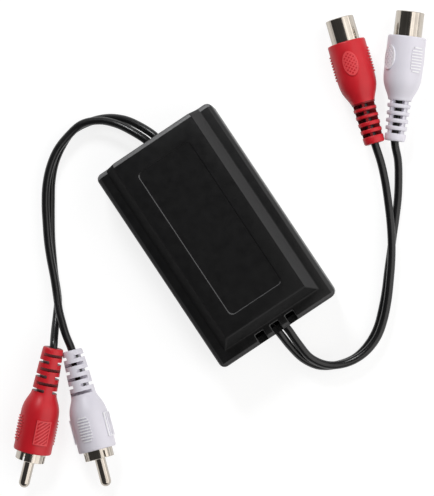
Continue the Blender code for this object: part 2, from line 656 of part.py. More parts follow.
def entry_point(place):
    """Where a lead enters its boot."""
    x, y = PLACES[place][0]
    return Vector((x, y, entry_height(place))) + end_shift(place)


def lie_down(piece, place, lean=0.0):
    """Lays a piece that was modelled along +X from the lead's entry where its plug or socket lies."""
    _, heading, pitch, roll = PLACES[place]
    straight = Euler((math.radians(roll), -math.radians(pitch), math.radians(heading)))
    leaning = Euler((straight.x, straight.y, straight.z + math.radians(lean)))
    pivot = Vector((LEAN_PIVOT, 0.0, 0.0))
    piece.rotation_euler = leaning
    piece.location = entry_point(place) + straight.to_matrix() @ pivot - leaning.to_matrix() @ pivot
    return piece


def boot_form(place, metal_radius):
    """A boot with a bore for the lead, a wider one for the centre contact and one for the metal."""
    tail_bore = PIN_RADIUS + CONTACT_WALL + 2 * GAP
    inside = [
        (BOOT_LENGTHS[place], metal_radius + GAP), (SEAT_START - GAP, metal_radius + GAP),
        (SEAT_START - GAP, tail_bore), (CONTACT_START - GAP, tail_bore), (CONTACT_START - GAP, BORE_RADIUS),
        (0.0, BORE_RADIUS)]
    return turned_form(boot_outline(place) + inside)


def cut_plug_slots(boot):
    """Pairs of saw cuts across the sleeve of a plug, turned a quarter from one to the next."""
    slots = bmesh.new()
    reach = 2 * NECK_RADIUS
    half = PLUG_SLOT_WIDTH / 2
    for i in range(PLUG_SLOTS):
        middle = PLUG_SLOT_START + i * PLUG_SLOT_PITCH
        for side in (0, 1):
            add_block(slots, (middle - half, -reach, PLUG_SLOT_FLOOR), (middle + half, reach, reach),
                      Matrix.Rotation(math.pi * (side + (i + 1) % 2 / 2), 4, "X"))
    carve(boot, add_object("slot_tool", slots))


def cut_socket_slots(boot):
    """Windows in the grooves of a socket's sleeve, each groove keeping four posts."""
    reach = 2 * NECK_RADIUS
    half = SOCKET_SLOT_WIDTH / 2 - GAP / 6
    for turn in (math.pi / 4, -math.pi / 4):
        slots = bmesh.new()
        for i in range(SOCKET_SLOTS):
            middle = SOCKET_SLOT_START + i * SOCKET_SLOT_PITCH
            add_block(slots, (middle - half, -SOCKET_WINDOW / 2, -reach),
                      (middle + half, SOCKET_WINDOW / 2, reach), Matrix.Rotation(turn, 4, "X"))
        carve(boot, add_object("slot_tool", slots))


def grip_bar(form, along, length, lean, face):
    """Adds one bar of a grip: its place along the boot, its length and its lean from crosswise."""
    inner = HANDLE_RADIUS - 2 * GRIP_HEIGHT
    outer = HANDLE_RADIUS + 2 * GRIP_HEIGHT
    turn = Matrix.Rotation(face, 4, "X") @ Matrix.Translation((along, 0.0, 0.0))
    add_block(form, (-RIB_WIDTH / 2, -length / 2, inner), (RIB_WIDTH / 2, length / 2, outer),
              turn @ Matrix.Rotation(lean, 4, "Z"))


def round_to_handle(piece, start, height):
    """Trims the top of bars or pads to a sleeve round the handle."""
    inner = HANDLE_RADIUS - GRIP_HEIGHT
    outer = HANDLE_RADIUS + height
    low = start - 2 * GRIP_HEIGHT
    high = start + GRIP_LENGTH + 2 * GRIP_HEIGHT
    sleeve = turned_form([(low, outer), (high, outer), (high, inner), (low, inner)])
    return carve(piece, add_object("sleeve_tool", sleeve), "INTERSECT")


def add_grips(boot, place):
    """Raises ribs on four faces of the handle: crosswise on two, and slanted on a pad on the other two."""
    start = BOOT_LENGTHS[place] - GRIP_SETBACK
    middle = start + GRIP_LENGTH / 2
    slanted = 1 if place.startswith("plug") else 0
    pads = bmesh.new()
    bars = bmesh.new()
    pitch = (GRIP_LENGTH - RIB_WIDTH) / (RIB_COUNT - 1)
    for quarter in range(4):
        face = quarter * math.pi / 2
        on_pad = quarter % 2 == slanted
        if on_pad:
            bmesh.ops.create_cone(
                pads, cap_ends=True, segments=BOOT_SIDES, radius1=0.5, radius2=0.5, depth=1.0,
                matrix=Matrix.Rotation(face, 4, "X") @ Matrix.Translation((middle, 0.0, HANDLE_RADIUS))
                @ Matrix.Diagonal((GRIP_LENGTH, GRIP_WIDTH, 4 * GRIP_HEIGHT, 1.0)))
        for i in range(RIB_COUNT):
            along = (i - (RIB_COUNT - 1) / 2) * pitch
            share = 2 * along / GRIP_LENGTH
            reach = math.sqrt(1 - share * share) if on_pad else 1.0 - share ** 8 / 2
            lean = math.radians(30) if on_pad else 0.0
            grip_bar(bars, middle + along * (0.8 if on_pad else 1.0), GRIP_WIDTH * reach * 0.9, lean, face)
    carve(boot, round_to_handle(add_object("pad_tool", pads), start, PAD_HEIGHT), "UNION")
    carve(boot, round_to_handle(add_object("rib_tool", bars), start, GRIP_HEIGHT), "UNION")


def make_plug(colour, boot_finish, insulator_finish, metal_finish):
    """A phono plug: boot, slit ground ring, insulator and centre pin."""
    place = f"plug_{colour}"
    nose = BOOT_LENGTHS[place]
    boot = add_object(f"plug_boot_{colour}", boot_form(place, RING_RADIUS), boot_finish)
    cut_plug_slots(boot)
    add_grips(boot, place)

    ring_front = nose + RING_SHOWING
    inner = RING_RADIUS - RING_WALL
    ring = add_object(f"plug_ring_{colour}", turned_form([
        (SEAT_START, RING_RADIUS), (ring_front, RING_RADIUS), (ring_front, inner), (SEAT_START, inner)]),
        metal_finish)
    slits = bmesh.new()
    for i in range(RING_SLITS // 2):
        add_block(slits, (ring_front - RING_SLIT_LENGTH, -RING_SLIT_WIDTH / 2, -2 * RING_RADIUS),
                  (ring_front + RING_WALL, RING_SLIT_WIDTH / 2, 2 * RING_RADIUS),
                  Matrix.Rotation(math.pi * (i / (RING_SLITS // 2) + 0.25), 4, "X"))
    carve(ring, add_object("slit_tool", slits))

    hole = PIN_RADIUS + GAP
    body = inner - GAP
    insulator = add_object(f"plug_insulator_{colour}", turned_form([
        (SEAT_START, body), (nose, body), (nose, hole), (SEAT_START, hole)]), insulator_finish)

    tip = nose + PIN_SHOWING
    pin_profile = [(CONTACT_START, 0.0), (CONTACT_START, PIN_RADIUS)]
    for step in range(5):
        angle = math.pi / 2 * step / 4
        pin_profile.append((tip - PIN_RADIUS * (1 - math.sin(angle)), PIN_RADIUS * math.cos(angle)))
    pin_profile[-1] = (tip, 0.0)
    pin = add_object(f"plug_pin_{colour}", turned_form(pin_profile, 16), metal_finish)
    lie_down(smooth(boot), place)
    for piece in (ring, insulator, pin):
        lie_down(smooth(piece), place, METAL_LEANS[place])


def make_socket(colour, boot_finish, insulator_finish, metal_finish):
    """An inline phono socket: boot, outer shell, insulator and centre contact."""
    place = f"socket_{colour}"
    nose = BOOT_LENGTHS[place]
    rim = nose + SHELL_SHOWING
    boot = add_object(f"socket_boot_{colour}", boot_form(place, SHELL_RADIUS), boot_finish)
    cut_socket_slots(boot)
    add_grips(boot, place)

    inner = SHELL_RADIUS - SHELL_WALL
    shell = add_object(f"socket_shell_{colour}", turned_form([
        (SEAT_START, SHELL_RADIUS), (rim - SHELL_WALL / 2, SHELL_RADIUS), (rim, SHELL_RADIUS - SHELL_WALL / 2),
        (rim, inner), (SEAT_START, inner)]), metal_finish)

    contact_radius = PIN_RADIUS + CONTACT_WALL
    face = rim - MOUTH_DEPTH
    insulator = add_object(f"socket_insulator_{colour}", turned_form([
        (SEAT_START, inner - GAP), (face, inner - GAP), (face, contact_radius + GAP),
        (SEAT_START, contact_radius + GAP)]), insulator_finish)

    contact_front = face - MOUTH_DEPTH
    bore = PIN_RADIUS + GAP / 6
    bottom = SEAT_START + WALL
    contact = add_object(f"socket_contact_{colour}", turned_form([
        (CONTACT_START, 0.0), (CONTACT_START, contact_radius), (contact_front, contact_radius),
        (contact_front, bore), (bottom, bore), (bottom, 0.0)], 16), metal_finish)
    lie_down(smooth(boot), place)
    for piece in (shell, insulator, contact):
        lie_down(smooth(piece), place, METAL_LEANS[place])


def smooth_route(points, count):
    """Points spaced evenly along a smooth curve through a route's own points."""
    ends = [2 * points[0] - points[1], *points, 2 * points[-1] - points[-2]]
    fine = []
    steps = 12
    for before, start, end, after in zip(ends, ends[1:], ends[2:], ends[3:]):
        for step in range(steps):
            t = step / steps
            fine.append(0.5 * (2 * start + (end - before) * t
                               + (2 * before - 5 * start + 4 * end - after) * t ** 2
                               + (3 * start - before - 3 * end + after) * t ** 3))
    fine.append(points[-1])
    lengths = [0.0]
    for first, second in zip(fine, fine[1:]):
        lengths.append(lengths[-1] + (second - first).length)
    even = []
    index = 0
    for i in range(count):
        target = lengths[-1] * i / (count - 1)
        while index < len(fine) - 2 and lengths[index + 1] < target:
            index += 1
        span = lengths[index + 1] - lengths[index]
        even.append(fine[index].lerp(fine[index + 1], (target - lengths[index]) / span))
    return even


def make_lead(place, finish):
    """A plain round lead from the board, through its exit and into its boot."""
    _, heading, pitch, _ = PLACES[place]
    entry = entry_point(place)
    forward = Euler((0.0, -math.radians(pitch), math.radians(heading))).to_matrix() @ Vector((1.0, 0.0, 0.0))
    route = [Vector(point) * MM + end_shift(place) for point in ROUTES[place]]
    route += [entry, entry + forward * LEAD_DEPTH / 2, entry + forward * LEAD_DEPTH]
    kind, colour = place.split("_")
    curve = bpy.data.curves.new(f"{kind}_lead_{colour}", "CURVE")
    curve.dimensions = "3D"
    curve.bevel_depth = LEAD_RADIUS
    curve.bevel_resolution = 2
    curve.use_fill_caps = True
    spline = curve.splines.new("POLY")
    path = smooth_route(route, LEAD_POINTS)
    spline.points.add(len(path) - 1)
    for point, place_on_path in zip(spline.points, path):
        point.co = (*place_on_path, 1.0)
    spline.use_smooth = True
    curve.materials.append(finish)
    lead = bpy.data.objects.new(curve.name, curve)
    bpy.context.scene.collection.objects.link(lead)


def main():
    """Builds every piece of the isolator."""
    for piece in list(bpy.data.objects):
        bpy.data.objects.remove(piece)

    black = material("black_case_plastic", (0.012, 0.012, 0.013), 0.42)
    lead_black = material("black_lead_vinyl", (0.010, 0.010, 0.011), 0.35)
    red = material("red_boot_vinyl", (0.62, 0.020, 0.045), 0.35)
    white = material("white_boot_vinyl", (0.80, 0.78, 0.84), 0.35)
    nickel = material("nickel_plate", (0.74, 0.72, 0.68), 0.16, 1.0)
    insulator = material("insulator_plastic", (0.78, 0.77, 0.74), 0.45)
    steel = material("zinc_screw_steel", (0.60, 0.61, 0.62), 0.30, 1.0)
    laminate = material("green_board_laminate", (0.03, 0.16, 0.07), 0.45)
    iron = material("transformer_iron", (0.22, 0.22, 0.23), 0.50, 0.8)
    bobbin = material("bobbin_nylon", (0.08, 0.08, 0.08), 0.50)
    tape = material("winding_tape", (0.75, 0.50, 0.06), 0.40)
    nylon = material("tie_nylon", (0.72, 0.72, 0.70), 0.45)

    make_top_cover(black)
    make_bottom_case(black)
    make_screws(steel)
    make_board(laminate)
    for number, centre in enumerate(transformer_centres(), start=1):
        make_transformer(number, centre, iron, bobbin, tape)
    make_tie("lead_tie_plug_end", -TIE_POSITION, nylon)
    make_tie("lead_tie_socket_end", TIE_POSITION, nylon)
    for colour, finish in (("red", red), ("white", white)):
        make_plug(colour, finish, insulator, nickel)
        make_socket(colour, finish, insulator, nickel)
    for place in PLACES:
        make_lead(place, lead_black)


main()
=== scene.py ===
"""Ground loop isolator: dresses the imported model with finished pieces, materials and a plain studio.

The case's cover, the four leads and every piece of the phono plugs and sockets are modelled here at
full detail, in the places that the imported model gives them. The other pieces keep their packed form.
Everything is in metres.
"""
import math

import bmesh
import bpy
from bpy.props import FloatProperty, FloatVectorProperty, IntProperty, PointerProperty
from bpy.types import Operator, Panel, PropertyGroup
from mathutils import Euler, Matrix, Vector


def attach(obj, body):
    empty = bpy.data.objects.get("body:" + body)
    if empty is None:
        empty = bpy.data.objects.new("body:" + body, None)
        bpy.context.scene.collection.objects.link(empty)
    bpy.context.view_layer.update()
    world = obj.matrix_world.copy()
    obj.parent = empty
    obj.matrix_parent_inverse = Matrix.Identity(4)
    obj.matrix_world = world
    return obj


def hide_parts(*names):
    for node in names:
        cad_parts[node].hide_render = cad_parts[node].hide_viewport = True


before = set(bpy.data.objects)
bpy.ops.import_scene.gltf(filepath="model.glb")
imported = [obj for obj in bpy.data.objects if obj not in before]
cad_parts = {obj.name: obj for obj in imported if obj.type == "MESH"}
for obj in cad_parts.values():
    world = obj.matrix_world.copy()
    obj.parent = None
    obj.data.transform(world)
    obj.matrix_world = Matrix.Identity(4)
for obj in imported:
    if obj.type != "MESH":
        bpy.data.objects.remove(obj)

bl_info = {
    "name": "Ground Loop Isolator",
    "version": (1, 0, 0),
    "blender": (4, 5, 0),
    "location": "3D View > Sidebar > Isolator",
    "description": "Models a ground loop isolator with phono plug and socket leads",
    "category": "Object",
}

MM = 0.001
GAP = 0.3 * MM                    # clearance between pieces that meet
SAME_HEIGHT = MM / 100            # heights and places that differ by less are one
SAME_POINT = MM / 1000            # points closer than this are merged

# Case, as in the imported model
CASE_LENGTH = 66.5 * MM
CASE_WIDTH = 39.5 * MM
CASE_HEIGHT = 22.0 * MM
WALL = 2.0 * MM
PARTING_HEIGHT = 9.0 * MM
COVER_BASE = PARTING_HEIGHT + GAP / 2
BRIM_HEIGHT = 16.5 * MM
SIDE_BRIM = 3.65 * MM
END_BRIM = 4.15 * MM
SLOPE_RUN = 2.6 * MM
SLOPE_ANGLE = math.atan2(CASE_HEIGHT - BRIM_HEIGHT, SLOPE_RUN)
TONGUE_THICKNESS = 0.8 * MM
TONGUE_HEIGHT = 1.4 * MM
RECESS_LENGTH = 48.8 * MM
RECESS_WIDTH = 17.9 * MM
RECESS_CORNER = 1.5 * MM
RECESS_SHIFT = -2.5 * MM
RECESS_WALL_RUN = 0.8             # how far the recess's walls lean, as a share of its depth
NOTCH_COUNT = 3
NOTCH_WIDTH = 2.8 * MM
NOTCH_PITCH = 5.15 * MM
NOTCH_LENGTH = 3.1 * MM
NOTCH_DEPTH = 4.0 * MM
NOTCH_CHAMFER = 0.22 * MM
NOTCH_CORNER = NOTCH_WIDTH / 8
EXIT_WIDTH = 7.0 * MM
EXIT_HALF_HEIGHT = 1.675 * MM
BOSS_RADIUS = 2.9 * MM
BOSS_X = CASE_LENGTH / 2 - WALL - GAP - BOSS_RADIUS
BOSS_Y = CASE_WIDTH / 2 - WALL - GAP - BOSS_RADIUS
PILOT_RADIUS = 1.55 * MM
PILOT_TOP = 12.4 * MM
CORNER_SIGNS = [(-1, -1), (1, -1), (1, 1), (-1, 1)]

# How much paler the case's painted highlights are, from not at all to the highlight colour: the plug end's
# rim, the lit recess walls, notches and flanks are painted highlight, the other rims painted highlight and
# rubbing
PLUG_END_HIGHLIGHT = 1.0
RECESS_HIGHLIGHT = 0.55
NOTCH_HIGHLIGHT = 0.3
LIT_FLANK_SHEEN = 0.2
RIM_HIGHLIGHT_AND_RUBBING = 0.15
FLANK_EDGE_HIGHLIGHT = 0.1
NEARLY_FLAT = math.radians(5)
NEARLY_UPRIGHT = math.radians(80)
PLUG_RIM_STEEPEST = math.radians(55)
FLANK_TOLERANCE = math.radians(3)
FLANK_EDGE_ANGLE = 0.5            # least angle in radians between faces that meet in a rounded edge

# Boots, rings, shells and pins, measured forwards from where a lead enters its boot
LEAD_DEPTH = 12.0 * MM
BORE_RADII = {"plug_red": 1.22 * MM, "plug_white": 1.475 * MM,
              "socket_red": 1.22 * MM, "socket_white": 1.9 * MM}
CORE_RADIUS = 0.2 * MM            # of the thin bore between the lead's end and the centre contact
TAIL_BORE_RADIUS = 2.55 * MM
CONTACT_START = 16.0 * MM
SEAT_START = 23.0 * MM
HANDLE_RADIUS = 5.6 * MM
GRIP_SETBACK = 10.2 * MM          # a grip's start, behind the nose
GRIP_LENGTH = 7.2 * MM
GRIP_WIDTH = 4.4 * MM
GRIP_HEIGHT = 0.4 * MM
PAD_HEIGHT = 0.2 * MM
RIB_WIDTH = 0.36 * MM
RIB_COUNT = 9
CROSS_RIB_SPAN = 0.85             # of a crosswise rib, as a share of the grip's width
CROSS_RIB_TAPER = 8               # power by which the crosswise ribs shorten towards the grip's ends
CROSS_RIB_HEIGHT = GRIP_HEIGHT * 0.8
HATCH_HEIGHT = GRIP_HEIGHT * 0.85
PAD_RIM = RIB_WIDTH * 0.9         # width of the raised outline round a hatched pad
HATCH_ANGLE = math.radians(42)
HATCH_PITCH = 2.35                # rib widths from one slanted rib to the next
HATCH_REACH = GRIP_LENGTH * 0.75  # how far from a pad's middle its slanted ribs go
TRIM_BACK = GRIP_LENGTH           # reach of the sleeve that trims a grip, behind the grip's middle
TRIM_FRONT = GRIP_LENGTH * 0.7    # and ahead of it
HATCH_HIGHLIGHT = 0.65                 # share of the painted highlight on the slanted ribs, where the crosswise ones have the whole highlight colour
BOOT_LENGTHS = {"plug_red": 31.2 * MM, "plug_white": 30.0 * MM,
                "socket_red": 30.5 * MM, "socket_white": 30.5 * MM}
PLUG_SLOTS = [(2.1 + 2.13 * i) * MM for i in range(6)]
PLUG_SLOT_WIDTH = 0.9 * MM
PLUG_SLOT_FLOORS = {"plug_red": 1.28 * MM, "plug_white": 1.15 * MM}  # from the boot's axis
SOCKET_SLOTS = [(2.7 + 2.16 * i) * MM for i in range(5)]
SOCKET_SLOT_WIDTH = 0.95 * MM
SOCKET_WEB = 0.75 * MM            # thickness of the four webs that join a socket's discs
DISC_EDGE = 0.28 * MM             # rounding of the discs between a socket's windows
LIP = 0.15 * MM                   # break of the edges round a boot's bores
PIN_RADIUS = 1.6 * MM
PIN_SHOWING = 11.0 * MM
RING_RADIUS = 4.35 * MM
RING_WALL = 0.35 * MM
RING_SHOWING = 2.7 * MM
RING_SLIT_WIDTH = 0.6 * MM
RING_SLIT_LENGTH = 2.2 * MM
SHELL_RADIUS = 4.15 * MM
SHELL_WALL = 0.45 * MM
SHELL_SHOWING = 7.2 * MM
MOUTH_DEPTH = 0.5 * MM
CONTACT_RADIUS = 1.95 * MM
CONTACT_BORE = 1.65 * MM
SLEEVE_LENGTH = 13.6 * MM         # slotted part of a boot
SLOT_SHARE = 0.95                 # of the sleeve's radius, within which a face lies in a slot
LEAN_PIVOT = 28.0 * MM            # the metal leans in its boot about this point

# Outside of a boot's sleeve and shoulder, as distance from the lead's entry and radius in millimetres
PLUG_SHOULDER = [
    (0.0, 2.6), (0.1, 2.84), (0.35, 3.0), (0.7, 3.05), (4.0, 3.25), (8.0, 3.45), (12.0, 3.65), (13.6, 3.75),
    (14.3, 3.95), (15.3, 4.4), (16.3, 4.86), (17.3, 5.22), (18.3, 5.46), (19.3, 5.57), (20.2, 5.6)]
SOCKET_SHOULDER = [
    (0.0, 2.6), (0.1, 2.84), (0.35, 3.0), (0.7, 3.05), (12.35, 3.48), (13.35, 3.85), (14.35, 4.34),
    (15.35, 4.8), (16.35, 5.17), (17.35, 5.4), (18.35, 5.53), (19.6, 5.6)]

# Rounding of a boot's nose, as distance behind it and drop below the handle's radius in millimetres
NOSE_EDGE = [(0.45, 0.0), (0.2, 0.05), (0.05, 0.18), (0.0, 0.4)]

# Where each plug and socket lies: the lead's entry in millimetres, heading, pitch (nose up) and roll
PLACES = {
    "plug_red": ((0.69, -58.08, 7.71), -45.7, -3.5, 65.0),
    "plug_white": ((4.25, -54.25, 5.31), -18.9, 2.0, 16.0),
    "socket_red": ((3.12, 52.84, 6.48), 162.2, -1.0, -5.0),
    "socket_white": ((5.75, 58.02, 5.64), 139.4, 1.0, -52.0),
}
METAL_LEANS = {"plug_red": -2.0, "plug_white": 0.0, "socket_red": 0.0, "socket_white": 0.0}

# Free run of each lead in millimetres, from the board inside the case to just short of its boot
ROUTES = {
    "plug_red": [
        (-21.5, 1.3, 8.2), (-25.0, 1.3, 8.9), (-28.5, 1.3, 9.0), (-31.5, 1.2, 9.0), (-34.6, 0.8, 8.8),
        (-39.3, -1.3, 7.1), (-43.5, -4.1, 5.0), (-46.8, -8.1, 2.8), (-48.8, -13.1, 1.5),
        (-49.4, -18.6, 1.2), (-47.5, -23.7, 1.2), (-44.5, -28.3, 1.2), (-40.5, -32.2, 1.2),
        (-36.0, -35.4, 1.2), (-31.4, -38.5, 1.2), (-26.7, -41.5, 1.2), (-21.9, -44.2, 1.2),
        (-17.0, -46.8, 1.2), (-13.5, -48.4, 1.2), (-10.3, -50.0, 1.5), (-8.0, -51.7, 2.3),
        (-5.8, -53.4, 3.3), (-3.7, -55.0, 4.7), (-1.7, -56.4, 6.3)],
    "plug_white": [
        (-21.5, -1.3, 8.2), (-25.0, -1.3, 8.9), (-28.5, -1.3, 9.0), (-31.5, -1.4, 9.0), (-34.6, -1.9, 8.9),
        (-39.2, -4.0, 8.2), (-43.5, -6.6, 7.0), (-47.2, -10.3, 5.4), (-49.3, -15.2, 4.4),
        (-48.7, -20.5, 3.9), (-47.0, -25.6, 3.8), (-43.9, -30.2, 3.8), (-40.1, -34.0, 3.7),
        (-35.7, -37.2, 3.6), (-31.0, -40.0, 3.6), (-26.3, -42.6, 3.8), (-21.4, -44.9, 3.8),
        (-16.6, -46.9, 3.8), (-12.0, -49.0, 4.1), (-7.7, -50.9, 5.1), (-4.4, -52.0, 5.7),
        (-0.5, -53.2, 5.8)],
    "socket_white": [
        (21.5, -1.3, 8.2), (25.0, -1.2, 8.9), (28.5, -1.1, 9.0), (31.5, -0.8, 9.0), (34.6, -0.5, 8.7),
        (38.8, -0.2, 6.9), (43.8, 0.8, 4.7), (48.1, 3.5, 2.7), (50.8, 8.1, 1.5), (51.9, 13.4, 1.2),
        (50.8, 18.8, 1.2), (48.2, 23.7, 1.2), (44.6, 27.8, 1.2), (40.6, 31.7, 1.2), (36.4, 35.3, 1.2),
        (32.2, 39.0, 1.2), (28.1, 42.6, 1.2), (24.0, 46.3, 1.2), (19.7, 49.9, 1.2), (15.2, 53.1, 1.9),
        (10.8, 55.8, 3.7)],
    "socket_red": [
        (21.5, 1.3, 8.2), (25.0, 1.4, 8.9), (28.5, 1.5, 9.0), (31.5, 1.8, 9.0), (34.6, 2.1, 8.9),
        (39.2, 2.2, 8.1), (44.6, 2.8, 6.8), (49.2, 5.8, 5.2), (51.8, 10.8, 4.2), (52.2, 16.5, 3.9),
        (50.5, 22.0, 3.8), (47.2, 26.6, 3.8), (43.1, 30.7, 3.8), (38.7, 34.4, 3.8), (34.1, 38.0, 3.8),
        (29.4, 41.2, 3.8), (24.4, 44.1, 3.7), (19.3, 46.7, 3.4), (14.0, 49.2, 3.9), (8.6, 51.3, 5.2)],
}

# Camera, as the photograph was taken: nearly straight down, turned to the case's diagonal
CAMERA_DISTANCE = 800 * MM
CAMERA_TARGET = Vector((2.77, -2.52, 0.0)) * MM
CAMERA_LEAN = (math.radians(1.6), math.radians(3.0))
CAMERA_TURN = math.radians(56.34)

# Lights: azimuth and elevation in degrees, distance and size in metres, colour
KEY_LIGHT = (50, 42, 0.8, (1.4, 1.0), (1.0, 0.985, 0.965))
RIM_LIGHT = (164, 45, 0.65, (0.16, 0.16), (0.98, 0.99, 1.0))
FLOOR_SIZE = 6.0
FLOOR_GLOW = 0.83                 # what the seen floor gives by itself
SHADOW_SHARE = (0.25,) * 3        # what the lamps and their shadows add to it
WALL_TOP = (0.10, 0.22)           # heights over which the room's white wall fades into its ceiling
WHITE = (1.0, 1.0, 1.0, 1.0)
GREY = (0.5, 0.5, 0.5, 1.0)
MATT_GAIN = 0.45                  # roughness that a matt face adds


class IsolatorCaseSettings(PropertyGroup):
    """Sizes and finish of the case."""
    corner_radius: FloatProperty(
        name="Corner radius", description="Radius of the case's upright corners",
        default=1.8 * MM, min=0.5 * MM, max=4 * MM, subtype="DISTANCE", unit="LENGTH")
    rim_radius: FloatProperty(
        name="Rim radius", description="Radius of the edge between the walls and the top",
        default=1.2 * MM, min=0.3 * MM, max=2 * MM, subtype="DISTANCE", unit="LENGTH")
    slope_radius: FloatProperty(
        name="Slope radius", description="Radius of the edges along the raised top's sloping flanks",
        default=0.32 * MM, min=0.1 * MM, max=1 * MM, subtype="DISTANCE", unit="LENGTH")
    recess_depth: FloatProperty(
        name="Recess depth", description="Depth of the bare label recess in the raised top",
        default=0.3 * MM, min=0.1 * MM, max=1 * MM, subtype="DISTANCE", unit="LENGTH")
    colour: FloatVectorProperty(
        name="Case colour", description="Colour of the case's black plastic",
        default=(0.0048, 0.0048, 0.0051), min=0.0, max=1.0, size=3, subtype="COLOR")
    # The colour of the case's painted highlights, partly rubbing on its rims
    highlight_and_rubbing: FloatVectorProperty(
        name="Case highlight", description="Colour of the case's painted highlights, partly rubbing on its rims",
        default=(0.15, 0.15, 0.153), min=0.0, max=1.0, size=3, subtype="COLOR")
    roughness: FloatProperty(
        name="Case roughness", description="Roughness of the case's moulded surface",
        default=0.40, min=0.0, max=1.0, subtype="FACTOR")


class IsolatorLeadSettings(PropertyGroup):
    """Size and finish of the four leads."""
    diameter: FloatProperty(
        name="Lead diameter", description="Diameter of each round lead",
        default=2.35 * MM, min=1 * MM, max=2.4 * MM, subtype="DISTANCE", unit="LENGTH")
    points: IntProperty(
        name="Points", description="Number of points along each lead's centreline",
        default=140, min=40, max=400)
    colour: FloatVectorProperty(
        name="Lead colour", description="Colour of the leads' vinyl jacket",
        default=(0.0065, 0.0065, 0.0070), min=0.0, max=1.0, size=3, subtype="COLOR")


class IsolatorConnectorSettings(PropertyGroup):
    """Finish and fineness of the phono plugs and sockets."""
    sides: IntProperty(
        name="Sides", description="Number of sides of each turned piece",
        default=64, min=24, max=128)
    red: FloatVectorProperty(
        name="Red", description="Colour of the boots of the right channel",
        default=(0.57, 0.012, 0.021), min=0.0, max=1.0, size=3, subtype="COLOR")
    # Colour of the painted highlights on the red boots' rib tops, partly rubbing
    red_highlight_and_rubbing: FloatVectorProperty(
        name="Red highlight", description="Colour of the painted highlights on the red boots' rib tops, partly rubbing",
        default=(0.85, 0.10, 0.11), min=0.0, max=1.0, size=3, subtype="COLOR")
    white: FloatVectorProperty(
        name="White", description="Colour of the boots of the left channel",
        default=(0.72, 0.70, 0.77), min=0.0, max=1.0, size=3, subtype="COLOR")
    # Colour of the painted highlights on the white boots' rib tops, partly rubbing
    white_highlight_and_rubbing: FloatVectorProperty(
        name="White highlight", description="Colour of the painted highlights on the white boots' rib tops, partly rubbing",
        default=(0.90, 0.90, 0.92), min=0.0, max=1.0, size=3, subtype="COLOR")
    nickel: FloatVectorProperty(
        name="Nickel", description="Colour of the plated metal",
        default=(0.66, 0.60, 0.53), min=0.0, max=1.0, size=3, subtype="COLOR")


class IsolatorStageSettings(PropertyGroup):
    """Camera, lights and floor."""
    lens: FloatProperty(
        name="Lens", description="Focal length of the camera",
        default=197.7, min=20.0, max=400.0, unit="CAMERA")
    key_power: FloatProperty(
        name="Key light", description="Power of the large soft light to the right",
        default=7.4, min=0.0, max=100.0, unit="POWER")
    rim_power: FloatProperty(
        name="Rim light", description="Power of the small light behind the plug end",
        default=2.2, min=0.0, max=100.0, unit="POWER")
    ceiling: FloatProperty(
        name="Ceiling", description="Brightness of the room above the white horizon",
        default=0.06, min=0.0, max=2.0)
    floor_colour: FloatVectorProperty(
        name="Floor colour", description="Colour of the pale table",
        default=(0.88, 0.88, 0.88), min=0.0, max=1.0, size=3, subtype="COLOR")


def clear_selection():
    """Leaves edit mode and deselects every object."""
    if bpy.context.mode != "OBJECT":
        bpy.ops.object.mode_set(mode="OBJECT")
    bpy.ops.object.select_all(action="DESELECT")


def select_only(piece):
    """Makes one piece the active and only selected object."""
    clear_selection()
    piece.select_set(True)
    bpy.context.view_layer.objects.active = piece


def choose(piece, kind, test):
    """Selects the vertices, edges or faces of a piece in edit mode that pass a test."""
    bpy.ops.mesh.select_mode(type=kind)
    bpy.ops.mesh.select_all(action="DESELECT")
    form = bmesh.from_edit_mesh(piece.data)
    form.normal_update()
    parts = {"VERT": form.verts, "EDGE": form.edges, "FACE": form.faces}[kind]
    for part in parts:
        if test(part):
            part.select_set(True)
    form.select_flush_mode()
    bmesh.update_edit_mesh(piece.data)


def settle(piece):
    """Moves a piece's place, turn and scale into its mesh."""
    select_only(piece)
    bpy.ops.object.transform_apply(location=True, rotation=True, scale=True)
    return piece


def add_block(name, low, high):
    """A rectangular block between its lowest and highest corners."""
    low = Vector(low)
    high = Vector(high)
    clear_selection()
    bpy.ops.mesh.primitive_cube_add(size=1.0, location=(low + high) / 2, scale=high - low)
    piece = bpy.context.object
    piece.name = name
    return settle(piece)


def round_block(name, low, high, radius, steps=6):
    """A block whose upright edges are rounded in edit mode."""
    piece = add_block(name, low, high)
    bpy.ops.object.mode_set(mode="EDIT")
    choose(piece, "EDGE", lambda edge: abs(edge.verts[0].co.z - edge.verts[1].co.z) > SAME_HEIGHT)
    bpy.ops.mesh.bevel(offset=radius, segments=steps, affect="EDGES")
    bpy.ops.object.mode_set(mode="OBJECT")
    return piece


def apply_boolean(piece, tool, operation="DIFFERENCE"):
    """Cuts, joins or intersects a piece with a tool, and removes the tool."""
    select_only(piece)
    step = piece.modifiers.new(operation.lower(), "BOOLEAN")
    step.operation = operation
    step.solver = "EXACT"
    step.object = tool
    bpy.ops.object.modifier_apply(modifier=step.name)
    bpy.data.objects.remove(tool)
    return piece


def join_pieces(name, pieces):
    """Joins several pieces into one mesh."""
    clear_selection()
    for piece in pieces:
        piece.select_set(True)
    bpy.context.view_layer.objects.active = pieces[0]
    bpy.ops.object.join()
    pieces[0].name = name
    return pieces[0]


def corner_posts(low, high, radius, sides):
    """Upright round posts where the case's four screws are."""
    posts = []
    for x, y in CORNER_SIGNS:
        clear_selection()
        bpy.ops.mesh.primitive_cylinder_add(
            vertices=sides, radius=radius, depth=high - low,
            location=(x * BOSS_X, y * BOSS_Y, (low + high) / 2))
        posts.append(settle(bpy.context.object))
    return join_pieces("posts", posts)


